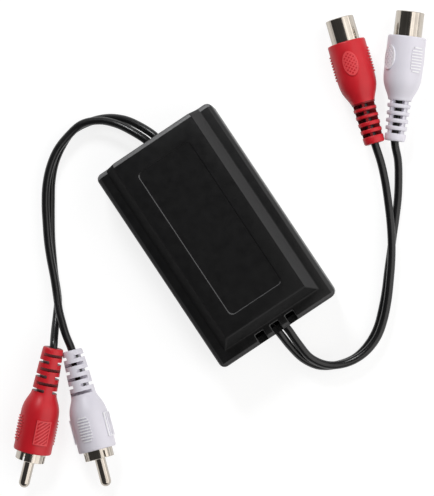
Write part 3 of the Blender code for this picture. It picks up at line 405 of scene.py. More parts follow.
def spin_section(name, section, sides, closed=True):
    """Draws half a section by extruding one vertex from point to point, and spins it about the X axis."""
    clear_selection()
    bpy.ops.mesh.primitive_plane_add(size=MM)
    piece = bpy.context.object
    piece.name = name
    bpy.ops.object.mode_set(mode="EDIT")
    bpy.ops.mesh.select_mode(type="VERT")
    bpy.ops.mesh.select_all(action="SELECT")
    bpy.ops.mesh.merge(type="CENTER")
    bpy.ops.transform.translate(value=(section[0][0], 0.0, section[0][1]))
    for (x, radius), (next_x, next_radius) in zip(section, section[1:]):
        bpy.ops.mesh.extrude_vertices_move(
            TRANSFORM_OT_translate={"value": (next_x - x, 0.0, next_radius - radius)})
    if closed:
        ends = [Vector((x, 0.0, radius)) for x, radius in (section[0], section[-1])]
        choose(piece, "VERT", lambda vertex: min((vertex.co - end).length for end in ends) < SAME_POINT)
        bpy.ops.mesh.edge_face_add()
    bpy.ops.mesh.select_all(action="SELECT")
    bpy.ops.mesh.spin(steps=sides, angle=2 * math.pi, center=(0, 0, 0), axis=(1, 0, 0))
    bpy.ops.mesh.select_all(action="SELECT")
    bpy.ops.mesh.remove_doubles(threshold=SAME_POINT)
    bpy.ops.mesh.normals_make_consistent(inside=False)
    bpy.ops.object.mode_set(mode="OBJECT")
    return piece


def shade(piece, angle=32.0):
    """Shades round faces smooth and keeps real edges sharp."""
    select_only(piece)
    bpy.ops.object.shade_smooth_by_angle(angle=math.radians(angle))
    return piece


def mark_faces(piece, mark, share):
    """Marks each face of a piece with what a test or a share says of it."""
    values = piece.data.attributes.new(mark, "FLOAT", "CORNER")
    for face in piece.data.polygons:
        amount = float(share(face))
        for corner in face.loop_indices:
            values.data[corner].value = amount


def finish_piece(piece, node, material):
    """Gives a piece its material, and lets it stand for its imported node."""
    piece.data.materials.clear()
    piece.data.materials.append(material)
    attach(piece, "root")
    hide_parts(node)
    return piece


class Nodes:
    """Places and links the nodes of one material, world or group."""

    def __init__(self, tree):
        self.tree = tree
        self.column = 0

    def feed(self, node, inputs):
        """Fills a node's inputs with values or links."""
        for name, value in inputs.items():
            if isinstance(value, bpy.types.NodeSocket):
                self.tree.links.new(value, node.inputs[name])
            else:
                node.inputs[name].default_value = value

    def add(self, kind, inputs=None, **settings):
        """Adds a node, sets it and fills its inputs."""
        node = self.tree.nodes.new(kind)
        node.location = (self.column * 190, -(self.column % 3) * 160)
        self.column += 1
        for name, value in settings.items():
            setattr(node, name, value)
        self.feed(node, inputs or {})
        return node

    def reckon(self, operation, *values):
        """The result of an operation on numbers or links."""
        return self.add("ShaderNodeMath", dict(enumerate(values)), operation=operation).outputs[0]

    def noise(self, place, scale, detail, **more):
        """Soft noise over a place."""
        inputs = {"Vector": place, "Scale": scale, "Detail": detail, **more}
        return self.add("ShaderNodeTexNoise", inputs).outputs["Fac"]

    def fit(self, value, low, high, new_low, new_high):
        """A value moved from one range to another."""
        inputs = {"Value": value, "From Min": low, "From Max": high, "To Min": new_low, "To Max": new_high}
        return self.add("ShaderNodeMapRange", inputs).outputs["Result"]

    def scale(self, colour, gain):
        """A colour made stronger or weaker."""
        inputs = {0: colour, "Scale": gain}
        return self.add("ShaderNodeVectorMath", inputs, operation="SCALE").outputs["Vector"]

    def mark(self, name, kind="Fac"):
        """What a mesh's own mark says."""
        return self.add("ShaderNodeAttribute", attribute_name=name).outputs[kind]


def new_surface_group(name, inputs):
    """An empty group that gives a colour, a roughness and a height from named inputs."""
    group = bpy.data.node_groups.new(name, "ShaderNodeTree")
    for label, value in inputs.items():
        kind = "NodeSocketColor" if isinstance(value, tuple) else "NodeSocketFloat"
        group.interface.new_socket(name=label, in_out="INPUT", socket_type=kind).default_value = value
    for label in ("Colour", "Roughness", "Height"):
        kind = "NodeSocketColor" if label == "Colour" else "NodeSocketFloat"
        group.interface.new_socket(name=label, in_out="OUTPUT", socket_type=kind)
    nodes = Nodes(group)
    return group, nodes, nodes.add("NodeGroupInput").outputs, nodes.add("NodeGroupOutput")


def moulded_surface_group():
    """Slow shifts of colour, patchy gloss and the fine grain of a moulded surface, with a painted highlight
    on marked faces and painted shade inside slots.
    """
    group, nodes, source, sink = new_surface_group("Moulded surface", {
        "Colour": GREY, "Mottle": 0.1, "Roughness": 0.4, "Patchiness": 0.05, "Grain size": 1800.0,
        "Highlight and rubbing colour": GREY, "Slot shade": 0.0})
    place = nodes.add("ShaderNodeTexCoord").outputs["Object"]
    shift = nodes.fit(nodes.noise(place, 160.0, 4.0), 0.3, 0.7, -0.5, 0.5)
    mottle = nodes.reckon("MULTIPLY", shift, source["Mottle"])
    # Painted shade: faces marked as inside a slot are darkened by the slot-shade strength.
    painted_slot_shade = nodes.reckon("MULTIPLY", nodes.mark("slotted"), source["Slot shade"])
    gain = nodes.reckon("ADD", mottle, nodes.reckon("SUBTRACT", 1.0, painted_slot_shade))
    # Painted highlight: marked faces are mixed towards the highlight colour, which on rims and ribs is
    # partly rubbing.
    highlight_and_rubbing = nodes.add("ShaderNodeMixRGB", {
        "Fac": nodes.mark("ridge"), "Color1": nodes.scale(source["Colour"], gain),
        "Color2": source["Highlight and rubbing colour"]})
    spread = nodes.fit(nodes.noise(place, 420.0, 3.0), 0.3, 0.7, -1.0, 1.0)
    patches = nodes.reckon("MULTIPLY", spread, source["Patchiness"])
    dull = nodes.reckon("MULTIPLY_ADD", nodes.mark("matt"), MATT_GAIN, patches)
    nodes.feed(sink, {
        "Colour": highlight_and_rubbing.outputs["Color"], "Roughness": nodes.reckon("ADD", dull, source["Roughness"]),
        "Height": nodes.noise(place, source["Grain size"], 2.0, Roughness=0.6)})
    return group


def rubbed_metal_group():
    """Clouded gloss, rubbing marks and lengthwise painted reflection streaks of plated metal."""
    group, nodes, source, sink = new_surface_group("Rubbed metal with painted streaks", {
        "Colour": GREY, "Tarnish": 0.1, "Roughness": 0.2, "Cloud": 0.05, "Painted streaks": 0.0})
    place = nodes.add("ShaderNodeTexCoord").outputs["Object"]
    cloud = nodes.fit(nodes.noise(place, 350.0, 4.0), 0.35, 0.75, 0.0, 1.0)
    tarnish = nodes.reckon("MULTIPLY", cloud, source["Tarnish"])
    # Painted reflection: dark streaks that run lengthwise, set by each point's direction from the axis.
    streak_noise = nodes.noise(nodes.mark("round", "Vector"), 7.0, 5.0, Roughness=0.7)
    streak = nodes.fit(streak_noise, 0.40, 0.62, 0.0, 1.0)
    painted_streaks = nodes.reckon("MULTIPLY", streak, source["Painted streaks"])
    gain = nodes.reckon("SUBTRACT", nodes.reckon("SUBTRACT", 1.0, painted_streaks), tarnish)
    swing = nodes.reckon("MULTIPLY", cloud, source["Cloud"])
    nodes.feed(sink, {
        "Colour": nodes.scale(source["Colour"], gain),
        "Roughness": nodes.reckon("ADD", swing, source["Roughness"]),
        "Height": nodes.noise(place, 2600.0, 3.0, Distortion=0.8)})
    return group


def surface_material(name, group, values, bump_depth, metallic=0.0, specular=0.5):
    """A Principled material fed by one of the surface groups."""
    material = bpy.data.materials.new(name)
    material.use_nodes = True
    nodes = Nodes(material.node_tree)
    surface = nodes.add("ShaderNodeGroup", node_tree=group)
    nodes.feed(surface, values)
    bump = nodes.add("ShaderNodeBump", {
        "Height": surface.outputs["Height"], "Strength": 1.0, "Distance": bump_depth})
    nodes.feed(material.node_tree.nodes["Principled BSDF"], {
        "Base Color": surface.outputs["Colour"], "Roughness": surface.outputs["Roughness"],
        "Normal": bump.outputs["Normal"], "Metallic": metallic, "Specular IOR Level": specular})
    return material


FINISHES = {}


class ISOLATOR_OT_finishes(Operator):
    """Make the materials that the pieces share"""
    bl_idname = "isolator.finishes"
    bl_label = "Make finishes"

    def execute(self, context):
        case = context.scene.isolator_case
        leads = context.scene.isolator_leads
        connectors = context.scene.isolator_connectors
        moulded = moulded_surface_group()
        rubbed = rubbed_metal_group()

        def plastic(name, colour, mottle, roughness, patchiness, grain, depth, specular=0.4, highlight_and_rubbing=None,
                    painted_slot_shade=0.0):
            values = {"Colour": (*colour, 1.0), "Mottle": mottle, "Roughness": roughness,
                      "Patchiness": patchiness, "Grain size": grain, "Highlight and rubbing colour": (*(highlight_and_rubbing or colour), 1.0),
                      "Slot shade": painted_slot_shade}
            FINISHES[name] = surface_material(name, moulded, values, depth, specular=specular)

        def metal(name, colour, tarnish, roughness, cloud, depth, painted_streaks=0.0):
            values = {"Colour": (*colour, 1.0), "Tarnish": tarnish, "Roughness": roughness, "Cloud": cloud,
                      "Painted streaks": painted_streaks}
            FINISHES[name] = surface_material(name, rubbed, values, depth, metallic=1.0)

        # The case is paled towards its highlight colour where its faces are marked as lit.
        plastic("case_plastic", case.colour, 0.25, case.roughness, 0.05, 2400.0, 0.018 * MM, 0.24, case.highlight_and_rubbing)
        plastic("lead_vinyl", leads.colour, 0.15, 0.30, 0.04, 900.0, 0.006 * MM, 0.42)
        # The boots get a painted highlight on their rib tops and painted shade inside their slots.
        plastic("red_vinyl", connectors.red, 0.12, 0.40, 0.05, 1100.0, 0.008 * MM, 0.35,
                connectors.red_highlight_and_rubbing, 0.62)
        plastic("white_vinyl", connectors.white, 0.04, 0.40, 0.05, 1100.0, 0.008 * MM, 0.35,
                connectors.white_highlight_and_rubbing, 0.06)
        plastic("insulator_plastic", (0.72, 0.70, 0.66), 0.08, 0.45, 0.05, 1500.0, 0.004 * MM)
        plastic("tie_nylon", (0.70, 0.70, 0.67), 0.06, 0.42, 0.05, 1500.0, 0.004 * MM)
        plastic("bobbin_nylon", (0.02, 0.02, 0.02), 0.15, 0.45, 0.05, 1500.0, 0.006 * MM)
        plastic("board_laminate", (0.012, 0.11, 0.035), 0.3, 0.35, 0.08, 700.0, 0.010 * MM)
        plastic("winding_tape", (0.72, 0.42, 0.03), 0.15, 0.30, 0.06, 900.0, 0.020 * MM)
        # The nickel gets dark painted reflection streaks along its length.
        metal("nickel_plate", connectors.nickel, 0.10, 0.12, 0.08, 0.002 * MM, 0.45)
        metal("zinc_plate", (0.58, 0.60, 0.62), 0.25, 0.28, 0.15, 0.004 * MM)
        metal("core_iron", (0.20, 0.20, 0.21), 0.35, 0.45, 0.15, 0.010 * MM)
        return {"FINISHED"}


class ISOLATOR_OT_cover(Operator):
    """Model the case's cover, with its raised top, label recess, notches and screw bosses"""
    bl_idname = "isolator.cover"
    bl_label = "Model cover"

    def raised_block(self, name, inset, base):
        """A block with the cover's raised top, sloping on three sides and flush at the plug end."""
        lean = inset * math.tan(SLOPE_ANGLE / 2)
        half_x = CASE_LENGTH / 2 - inset
        half_y = CASE_WIDTH / 2 - inset
        brim = BRIM_HEIGHT - inset
        top = CASE_HEIGHT - inset
        foot_x = CASE_LENGTH / 2 - END_BRIM - lean
        foot_y = CASE_WIDTH / 2 - SIDE_BRIM - lean
        piece = add_block(name, (-half_x, -half_y, base), (half_x, half_y, brim))
        bpy.ops.object.mode_set(mode="EDIT")
        planes = (((0, foot_y, 0), (0, 1, 0)), ((0, -foot_y, 0), (0, 1, 0)), ((foot_x, 0, 0), (1, 0, 0)))
        for point, normal in planes:
            bpy.ops.mesh.select_all(action="SELECT")
            bpy.ops.mesh.bisect(plane_co=point, plane_no=normal)
        choose(piece, "FACE", lambda face: face.normal.z > 0.9 and face.calc_center_median().x < foot_x
               and abs(face.calc_center_median().y) < foot_y)
        bpy.ops.mesh.extrude_region_move(TRANSFORM_OT_translate={"value": (0, 0, top - brim)})
        for side in (-1, 1):
            choose(piece, "VERT", lambda vertex: vertex.co.z > top - SAME_HEIGHT
                   and vertex.co.y * side > SAME_HEIGHT)
            bpy.ops.transform.translate(value=(0, -side * SLOPE_RUN, 0))
        choose(piece, "VERT", lambda vertex: vertex.co.z > top - SAME_HEIGHT and vertex.co.x > 0)
        bpy.ops.transform.translate(value=(-SLOPE_RUN, 0, 0))
        bpy.ops.mesh.select_all(action="SELECT")
        bpy.ops.mesh.dissolve_limited(angle_limit=math.radians(1))
        bpy.ops.object.mode_set(mode="OBJECT")
        return piece

    def round_edges(self, piece, case):
        """Rounds the corners, the rim and the sloping flanks in one weighted bevel."""
        form = bmesh.new()
        form.from_mesh(piece.data)
        form.normal_update()
        largest = case.corner_radius
        weights = []
        for edge in form.edges:
            walls = sum(abs(face.normal.z) < 0.1 for face in edge.link_faces)
            low = min(vertex.co.z for vertex in edge.verts) < COVER_BASE + GAP
            if walls == 2:
                weights.append(1.0)
            elif walls == 1 and not low:
                weights.append(case.rim_radius / largest)
            elif walls == 0 and edge.calc_face_angle() > FLANK_EDGE_ANGLE:
                weights.append(case.slope_radius / largest)
            else:
                weights.append(0.0)
        form.free()
        values = piece.data.attributes.new("bevel_weight_edge", "FLOAT", "EDGE")
        for item, weight in zip(values.data, weights):
            item.value = weight
        select_only(piece)
        bevel = piece.modifiers.new("edges", "BEVEL")
        bevel.limit_method = "WEIGHT"
        bevel.width = largest
        bevel.segments = 5
        bpy.ops.object.modifier_apply(modifier=bevel.name)

    def execute(self, context):
        case = context.scene.isolator_case
        cover = self.raised_block("cover_shell", 0.0, COVER_BASE)
        self.round_edges(cover, case)
        apply_boolean(cover, self.raised_block("hollow", WALL, COVER_BASE - WALL))

        rebate = WALL - TONGUE_THICKNESS - GAP
        half_x = CASE_LENGTH / 2 - rebate
        half_y = CASE_WIDTH / 2 - rebate
        apply_boolean(cover, round_block(
            "rebate", (-half_x, -half_y, COVER_BASE - WALL),
            (half_x, half_y, PARTING_HEIGHT + TONGUE_HEIGHT + GAP), case.corner_radius - rebate))
        apply_boolean(cover, corner_posts(COVER_BASE, BRIM_HEIGHT - WALL / 2, BOSS_RADIUS, 48), "UNION")
        apply_boolean(cover, corner_posts(COVER_BASE - WALL, PILOT_TOP, PILOT_RADIUS, 32))

        apply_boolean(cover, self.recess_tool(case))
        for form in (self.notch, self.notch_rim):
            apply_boolean(cover, join_pieces("notches", [form(i) for i in range(NOTCH_COUNT)]))
        exits = []
        for side in (-1, 1):
            near, far = sorted((side * (CASE_LENGTH / 2 - WALL - 2 * GAP), side * (CASE_LENGTH / 2 + WALL)))
            exits.append(add_block("exit", (near, -EXIT_WIDTH / 2, PARTING_HEIGHT - EXIT_HALF_HEIGHT),
                                   (far, EXIT_WIDTH / 2, PARTING_HEIGHT + EXIT_HALF_HEIGHT)))
        apply_boolean(cover, join_pieces("exits", exits))
        # Painted highlight: faces where the lamps catch the case are marked paler.
        mark_faces(cover, "ridge", lambda face: self.highlight_share(face, case))
        mark_faces(cover, "matt", self.on_flank)
        shade(cover)
        finish_piece(cover, "top_cover", FINISHES["case_plastic"])
        return {"FINISHED"}

    def on_flank(self, face):
        """Whether a face belongs to one of the three sloping flanks or their edges."""
        place = face.center
        steep = abs(face.normal.z) < math.cos(NEARLY_FLAT)
        sideways = CASE_WIDTH / 2 - abs(place.y)
        lengthways = CASE_LENGTH / 2 - place.x
        return (steep and place.z > BRIM_HEIGHT + GAP / 3
                and (SIDE_BRIM - GAP < sideways < SIDE_BRIM + SLOPE_RUN + GAP
                     or END_BRIM - GAP < lengthways < END_BRIM + SLOPE_RUN + GAP))

    def highlight_share(self, face, case):
        """How far a face is painted paler as a highlight: the plug end's rim most, then the recess, notches,
        flanks and other rims, where the paleness is partly rubbing.
        """
        tilt = math.acos(min(1.0, abs(face.normal.z)))
        place = face.center
        x, y, _ = face.normal
        if tilt < NEARLY_FLAT:
            return 0.0
        # The flank that faces the key light gets a painted sheen, and the near flank's edges get a painted
        # highlight.
        if self.on_flank(face):
            edge = abs(tilt - SLOPE_ANGLE) > FLANK_TOLERANCE and x > 0.05
            return LIT_FLANK_SHEEN if y > 0.5 else FLANK_EDGE_HIGHLIGHT * edge
        # Only the recess walls that face the lamps, towards +Y and -X, get a painted highlight.
        in_recess = (abs(place.x - RECESS_SHIFT) < RECESS_LENGTH / 2 + GAP
                     and abs(place.y) < RECESS_WIDTH / 2 + GAP)
        if place.z > CASE_HEIGHT - case.recess_depth and in_recess:
            return RECESS_HIGHLIGHT * (y > 0.5 or x < -0.5)
        # The edges round the notches get a painted highlight.
        if place.x > CASE_LENGTH / 2 - NOTCH_LENGTH - GAP and BRIM_HEIGHT - GAP < place.z < BRIM_HEIGHT:
            return NOTCH_HIGHLIGHT
        if tilt > NEARLY_UPRIGHT or place.z <= BRIM_HEIGHT - case.rim_radius:
            return 0.0
        # The plug end's rim gets the painted highlight of the rim light.
        if place.x < -CASE_LENGTH / 2 + case.rim_radius:
            return PLUG_END_HIGHLIGHT * (x < -0.1 and tilt < PLUG_RIM_STEEPEST)
        # The other outer rims get a painted highlight that is partly rubbing.
        return RIM_HIGHLIGHT_AND_RUBBING * (abs(place.y) > CASE_WIDTH / 2 - case.rim_radius
                           or place.x > CASE_LENGTH / 2 - case.rim_radius)

    def notch(self, number, low=BRIM_HEIGHT - NOTCH_DEPTH, high=BRIM_HEIGHT + WALL):
        """The form of a notch between two heights."""
        y = (number - (NOTCH_COUNT - 1) / 2) * NOTCH_PITCH
        return round_block("notch", (CASE_LENGTH / 2 - NOTCH_LENGTH, y - NOTCH_WIDTH / 2, low),
                           (CASE_LENGTH / 2 + WALL, y + NOTCH_WIDTH / 2, high), NOTCH_CORNER, 3)

    def notch_rim(self, number):
        """The form that breaks the sharp edge round a notch."""
        tool = self.notch(number, BRIM_HEIGHT - NOTCH_CHAMFER, BRIM_HEIGHT + NOTCH_CHAMFER)
        y = (number - (NOTCH_COUNT - 1) / 2) * NOTCH_PITCH
        bpy.ops.object.mode_set(mode="EDIT")
        choose(tool, "VERT", lambda vertex: vertex.co.z > BRIM_HEIGHT)
        longer = 1 + 2 * NOTCH_CHAMFER / (NOTCH_LENGTH + WALL)
        wider = 1 + 4 * NOTCH_CHAMFER / NOTCH_WIDTH
        bpy.ops.transform.resize(
            value=(longer, wider, 1.0), center_override=(CASE_LENGTH / 2 + WALL, y, BRIM_HEIGHT))
        bpy.ops.object.mode_set(mode="OBJECT")
        return tool

    def recess_tool(self, case):
        """The form that cuts the label recess, with its walls sloped to catch the light."""
        depth = case.recess_depth
        slope = depth * RECESS_WALL_RUN
        tool = round_block(
            "recess",
            (RECESS_SHIFT - RECESS_LENGTH / 2 + slope, -RECESS_WIDTH / 2 + slope, CASE_HEIGHT - depth),
            (RECESS_SHIFT + RECESS_LENGTH / 2 - slope, RECESS_WIDTH / 2 - slope, CASE_HEIGHT), RECESS_CORNER)
        bpy.ops.object.mode_set(mode="EDIT")
        choose(tool, "VERT", lambda vertex: vertex.co.z > CASE_HEIGHT - depth / 2)
        wide = RECESS_LENGTH / (RECESS_LENGTH - 2 * slope)
        deep = RECESS_WIDTH / (RECESS_WIDTH - 2 * slope)
        centre = (RECESS_SHIFT, 0.0, CASE_HEIGHT)
        bpy.ops.transform.resize(value=(wide, deep, 1.0), center_override=centre)
        choose(tool, "FACE", lambda face: face.normal.z > 0.9)
        bpy.ops.mesh.extrude_region_move(TRANSFORM_OT_translate={"value": (0, 0, WALL)})
        bpy.ops.object.mode_set(mode="OBJECT")
        return tool


def lay_down(piece, place, lean=0.0):
    """Lays a piece that was modelled along +X where its plug or socket lies."""
    entry, heading, pitch, roll = PLACES[place]
    straight = Euler((math.radians(roll), -math.radians(pitch), math.radians(heading)))
    leaning = Euler((straight.x, straight.y, straight.z + math.radians(lean)))
    pivot = Vector((LEAN_PIVOT, 0.0, 0.0))
    piece.rotation_euler = leaning
    piece.location = Vector(entry) * MM + straight.to_matrix() @ pivot - leaning.to_matrix() @ pivot
    return settle(piece)


def radius_at(outline, distance):
    """Radius of an outline at a distance along it."""
    for (start, low), (end, high) in zip(outline, outline[1:]):
        if start <= distance <= end:
            return low + (high - low) * (distance - start) / (end - start)
    raise ValueError("distance is off the outline")


def boot_outline(place):
    """Outside of a boot from the lead's entry to the nose, with the grooves of a socket's sleeve."""
    nose = BOOT_LENGTHS[place]
    shape = PLUG_SHOULDER if place.startswith("plug") else SOCKET_SHOULDER
    shape = [(distance * MM, radius * MM) for distance, radius in shape]
    outline = list(shape)
    if place.startswith("socket"):
        first = SOCKET_SLOTS[0] - SOCKET_SLOT_WIDTH
        last = SOCKET_SLOTS[-1] + SOCKET_SLOT_WIDTH
        outline = [point for point in shape if point[0] < first]
        for middle in SOCKET_SLOTS:
            near = middle - SOCKET_SLOT_WIDTH / 2
            far = middle + SOCKET_SLOT_WIDTH / 2
            low = radius_at(shape, near)
            high = radius_at(shape, far)
            bend = DISC_EDGE * (1 - math.sqrt(0.5))
            outline += [
                (near - DISC_EDGE, low), (near - bend, low - bend), (near, low - DISC_EDGE),
                (far, high - DISC_EDGE), (far + bend, high - bend), (far + DISC_EDGE, high)]
        outline += [point for point in shape if point[0] > last]
    return outline + [(nose - back * MM, HANDLE_RADIUS - drop * MM) for back, drop in NOSE_EDGE]


def boot_section(place, metal_radius):
    """Half section of a boot, with bores for its lead, its centre contact and its metal."""
    nose = BOOT_LENGTHS[place]
    bore = BORE_RADII[place]
    seat = metal_radius + GAP
    inside = [
        (nose, seat + LIP), (nose - LIP, seat), (SEAT_START - GAP, seat),
        (SEAT_START - GAP, TAIL_BORE_RADIUS), (CONTACT_START - GAP, TAIL_BORE_RADIUS),
        (CONTACT_START - GAP, CORE_RADIUS), (LEAD_DEPTH + LIP, CORE_RADIUS), (LEAD_DEPTH + LIP, bore),
        (LIP, bore), (0.0, bore + LIP)]
    return boot_outline(place) + inside


def turn_about_axis(piece, angle):
    """Turns a piece about the X axis and settles it."""
    piece.rotation_euler = (angle, 0.0, 0.0)
    return settle(piece)


def grip_bar(along, length, lean, face, height):
    """One rib of a grip, on the face that is turned to an angle about the X axis."""
    inner = HANDLE_RADIUS - GRIP_HEIGHT
    bar = add_block("rib", (-RIB_WIDTH / 2, -length / 2, inner), (RIB_WIDTH / 2, length / 2, inner + height))
    bar.rotation_euler = (0.0, 0.0, lean)
    bar.location = (along, 0.0, 0.0)
    settle(bar)
    return turn_about_axis(bar, face)


def oval_post(middle, length, width, face):
    """An oval post through one face of the handle."""
    clear_selection()
    bpy.ops.mesh.primitive_cylinder_add(vertices=48, radius=0.5, depth=4 * GRIP_HEIGHT)
    post = bpy.context.object
    post.scale = (length, width, 1.0)
    post.location = (middle, 0.0, HANDLE_RADIUS)
    settle(post)
    return turn_about_axis(post, face)


def square_post(middle, length, width, face):
    """A square post through one face of the handle."""
    post = add_block("post", (middle - length / 2, -width / 2, HANDLE_RADIUS - 2 * GRIP_HEIGHT),
                     (middle + length / 2, width / 2, HANDLE_RADIUS + 2 * GRIP_HEIGHT))
    return turn_about_axis(post, face)


def round_to_handle(piece, middle, height, sides):
    """Trims a piece to a sleeve of a height round the handle."""
    low = middle - TRIM_BACK
    high = middle + TRIM_FRONT
    inner = HANDLE_RADIUS - GRIP_HEIGHT
    outer = HANDLE_RADIUS + height
    sleeve = spin_section("sleeve", [(low, outer), (high, outer), (high, inner), (low, inner)], sides)
    return apply_boolean(piece, sleeve, "INTERSECT")


def cross_ribs(middle, face, sides):
    """Ribs that run crosswise on one face of the handle."""
    pitch = (GRIP_LENGTH - RIB_WIDTH) / (RIB_COUNT - 1)
    bars = []
    for i in range(RIB_COUNT):
        along = (i - (RIB_COUNT - 1) / 2) * pitch
        share = 2 * along / GRIP_LENGTH
        width = GRIP_WIDTH * CROSS_RIB_SPAN * (1.0 - share ** CROSS_RIB_TAPER / 2)
        bars.append(grip_bar(middle + along, width, 0.0, face, 2 * GRIP_HEIGHT))
    return [round_to_handle(join_pieces("cross_ribs", bars), middle, CROSS_RIB_HEIGHT, sides)]


def hatched_pad(middle, face, sides, make_post, leans):
    """A low pad with a raised outline, filled with slanted ribs."""
    pad = round_to_handle(make_post(middle, GRIP_LENGTH, GRIP_WIDTH, face), middle, PAD_HEIGHT, sides)
    outline = make_post(middle, GRIP_LENGTH, GRIP_WIDTH, face)
    apply_boolean(outline, make_post(middle, GRIP_LENGTH - 2 * PAD_RIM, GRIP_WIDTH - 2 * PAD_RIM, face))
    round_to_handle(outline, middle, GRIP_HEIGHT, sides)
    pieces = [pad, outline]
    for lean in leans:
        step = RIB_WIDTH * HATCH_PITCH / math.cos(lean)
        count = int(HATCH_REACH / step)
        bars = [grip_bar(middle + i * step, GRIP_LENGTH * 2, lean, face, 2 * GRIP_HEIGHT)
                for i in range(-count, count + 1)]
        hatch = join_pieces("hatch", bars)
        field = make_post(middle, GRIP_LENGTH - PAD_RIM, GRIP_WIDTH - PAD_RIM, face)
        apply_boolean(hatch, field, "INTERSECT")
        pieces.append(round_to_handle(hatch, middle, HATCH_HEIGHT, sides))
    return pieces


def in_slot(face):
    """Whether a face is a wall or floor of a slot, window or bore in a boot's sleeve."""
    place = face.center
    if not 0.0 < place.x < SLEEVE_LENGTH:
        return False
    outside = radius_at([(x * MM, radius * MM) for x, radius in PLUG_SHOULDER], place.x)
    return math.hypot(place.y, place.z) < SLOT_SHARE * outside


def mark_ridges(boot, hatched_up):
    """Marks the tops of a boot's ribs for a painted highlight, the crosswise ones most, and the inside of
    its slots for painted shade.
    """
    least = HANDLE_RADIUS + (PAD_HEIGHT + CROSS_RIB_HEIGHT) / 2

    def share(face):
        if math.hypot(face.center.y, face.center.z) < least:
            return 0.0
        upright = abs(face.center.z) > abs(face.center.y)
        return HATCH_HIGHLIGHT if upright == hatched_up else 1.0

    mark_faces(boot, "ridge", share)
    mark_faces(boot, "slotted", in_slot)


def mark_round(piece):
    """Keeps each vertex's direction from the axis, for the painted reflection streaks that run along a
    turned piece.
    """
    values = piece.data.attributes.new("round", "FLOAT_VECTOR", "POINT")
    for item, vertex in zip(values.data, piece.data.vertices):
        item.vector = Vector((0.0, vertex.co.y, vertex.co.z)).normalized()
    return piece


def add_grips(boot, place, sides):
    """Raises a plug's or a socket's grips: crosswise ribs on two faces, hatched pads on the other two."""
    middle = BOOT_LENGTHS[place] - GRIP_SETBACK + GRIP_LENGTH / 2
    plug = place.startswith("plug")
    for quarter in range(4):
        face = quarter * math.pi / 2
        if quarter % 2 == (1 if plug else 0):
            post = square_post if plug else oval_post
            leans = [HATCH_ANGLE] if plug else [HATCH_ANGLE, -HATCH_ANGLE]
            pieces = hatched_pad(middle, face, sides, post, leans)
        else:
            pieces = cross_ribs(middle, face, sides)
        for piece in pieces:
            apply_boolean(boot, piece, "UNION")
    mark_ridges(boot, not plug)
    return boot


def metal_sleeve(name, front, radius, wall, sides):
    """A metal sleeve from its seat to a front rim whose edges are broken outside and inside."""
    inner = radius - wall
    edge = wall / 3
    return spin_section(name, [
        (SEAT_START, radius), (front - edge, radius), (front, radius - edge), (front, inner + edge),
        (front - edge, inner), (SEAT_START, inner)], sides)


def insulating_disc(name, front, body, hole, sides):
    """The disc of plastic that holds a pin or contact in its metal."""
    return spin_section(name, [
        (SEAT_START, body), (front - GAP, body), (front, body - GAP), (front, hole), (SEAT_START, hole)],
        sides)


def place_and_finish(place, pieces):
    """Lays a plug's or socket's pieces in place and finishes them. Its metal may lean in its boot."""
    kind, colour = place.split("_")
    plastics = {"boot": (f"{colour}_boot", f"{colour}_vinyl"),
                "insulator": ("insulator", "insulator_plastic")}
    for part, piece in pieces.items():
        slot, finish = plastics.get(part, ("nickel", "nickel_plate"))
        shade(lay_down(piece, place, 0.0 if part == "boot" else METAL_LEANS[place]))
        finish_piece(piece, f"{kind}_{part}_{colour}", FINISHES[finish])


def reach_of(place):
    """Where a lead enters its boot, the point half way, and where the lead ends inside."""
    entry, heading, pitch, _ = PLACES[place]
    forward = Euler((0.0, -math.radians(pitch), math.radians(heading))).to_matrix() @ Vector((1.0, 0.0, 0.0))
    start = Vector(entry) * MM
    return [start, start + forward * LEAD_DEPTH / 2, start + forward * LEAD_DEPTH]


def smooth_route(points, count):
    """Points spaced evenly along a smooth curve through a route's own points."""
    ends = [2 * points[0] - points[1], *points, 2 * points[-1] - points[-2]]
    fine = []
    steps = 12
    for before, start, end, after in zip(ends, ends[1:], ends[2:], ends[3:]):
        for step in range(steps):
            t = step / steps
            fine.append(0.5 * (2 * start + (end - before) * t
                               + (2 * before - 5 * start + 4 * end - after) * t ** 2
                               + (3 * start - before - 3 * end + after) * t ** 3))
    fine.append(points[-1])
    lengths = [0.0]
    for first, second in zip(fine, fine[1:]):
        lengths.append(lengths[-1] + (second - first).length)
    even = []
    index = 0
    for i in range(count):
        target = lengths[-1] * i / (count - 1)
        while index < len(fine) - 2 and lengths[index + 1] < target:
            index += 1
        span = lengths[index + 1] - lengths[index]
        even.append(fine[index].lerp(fine[index + 1], (target - lengths[index]) / span))
    return even, lengths[-1]


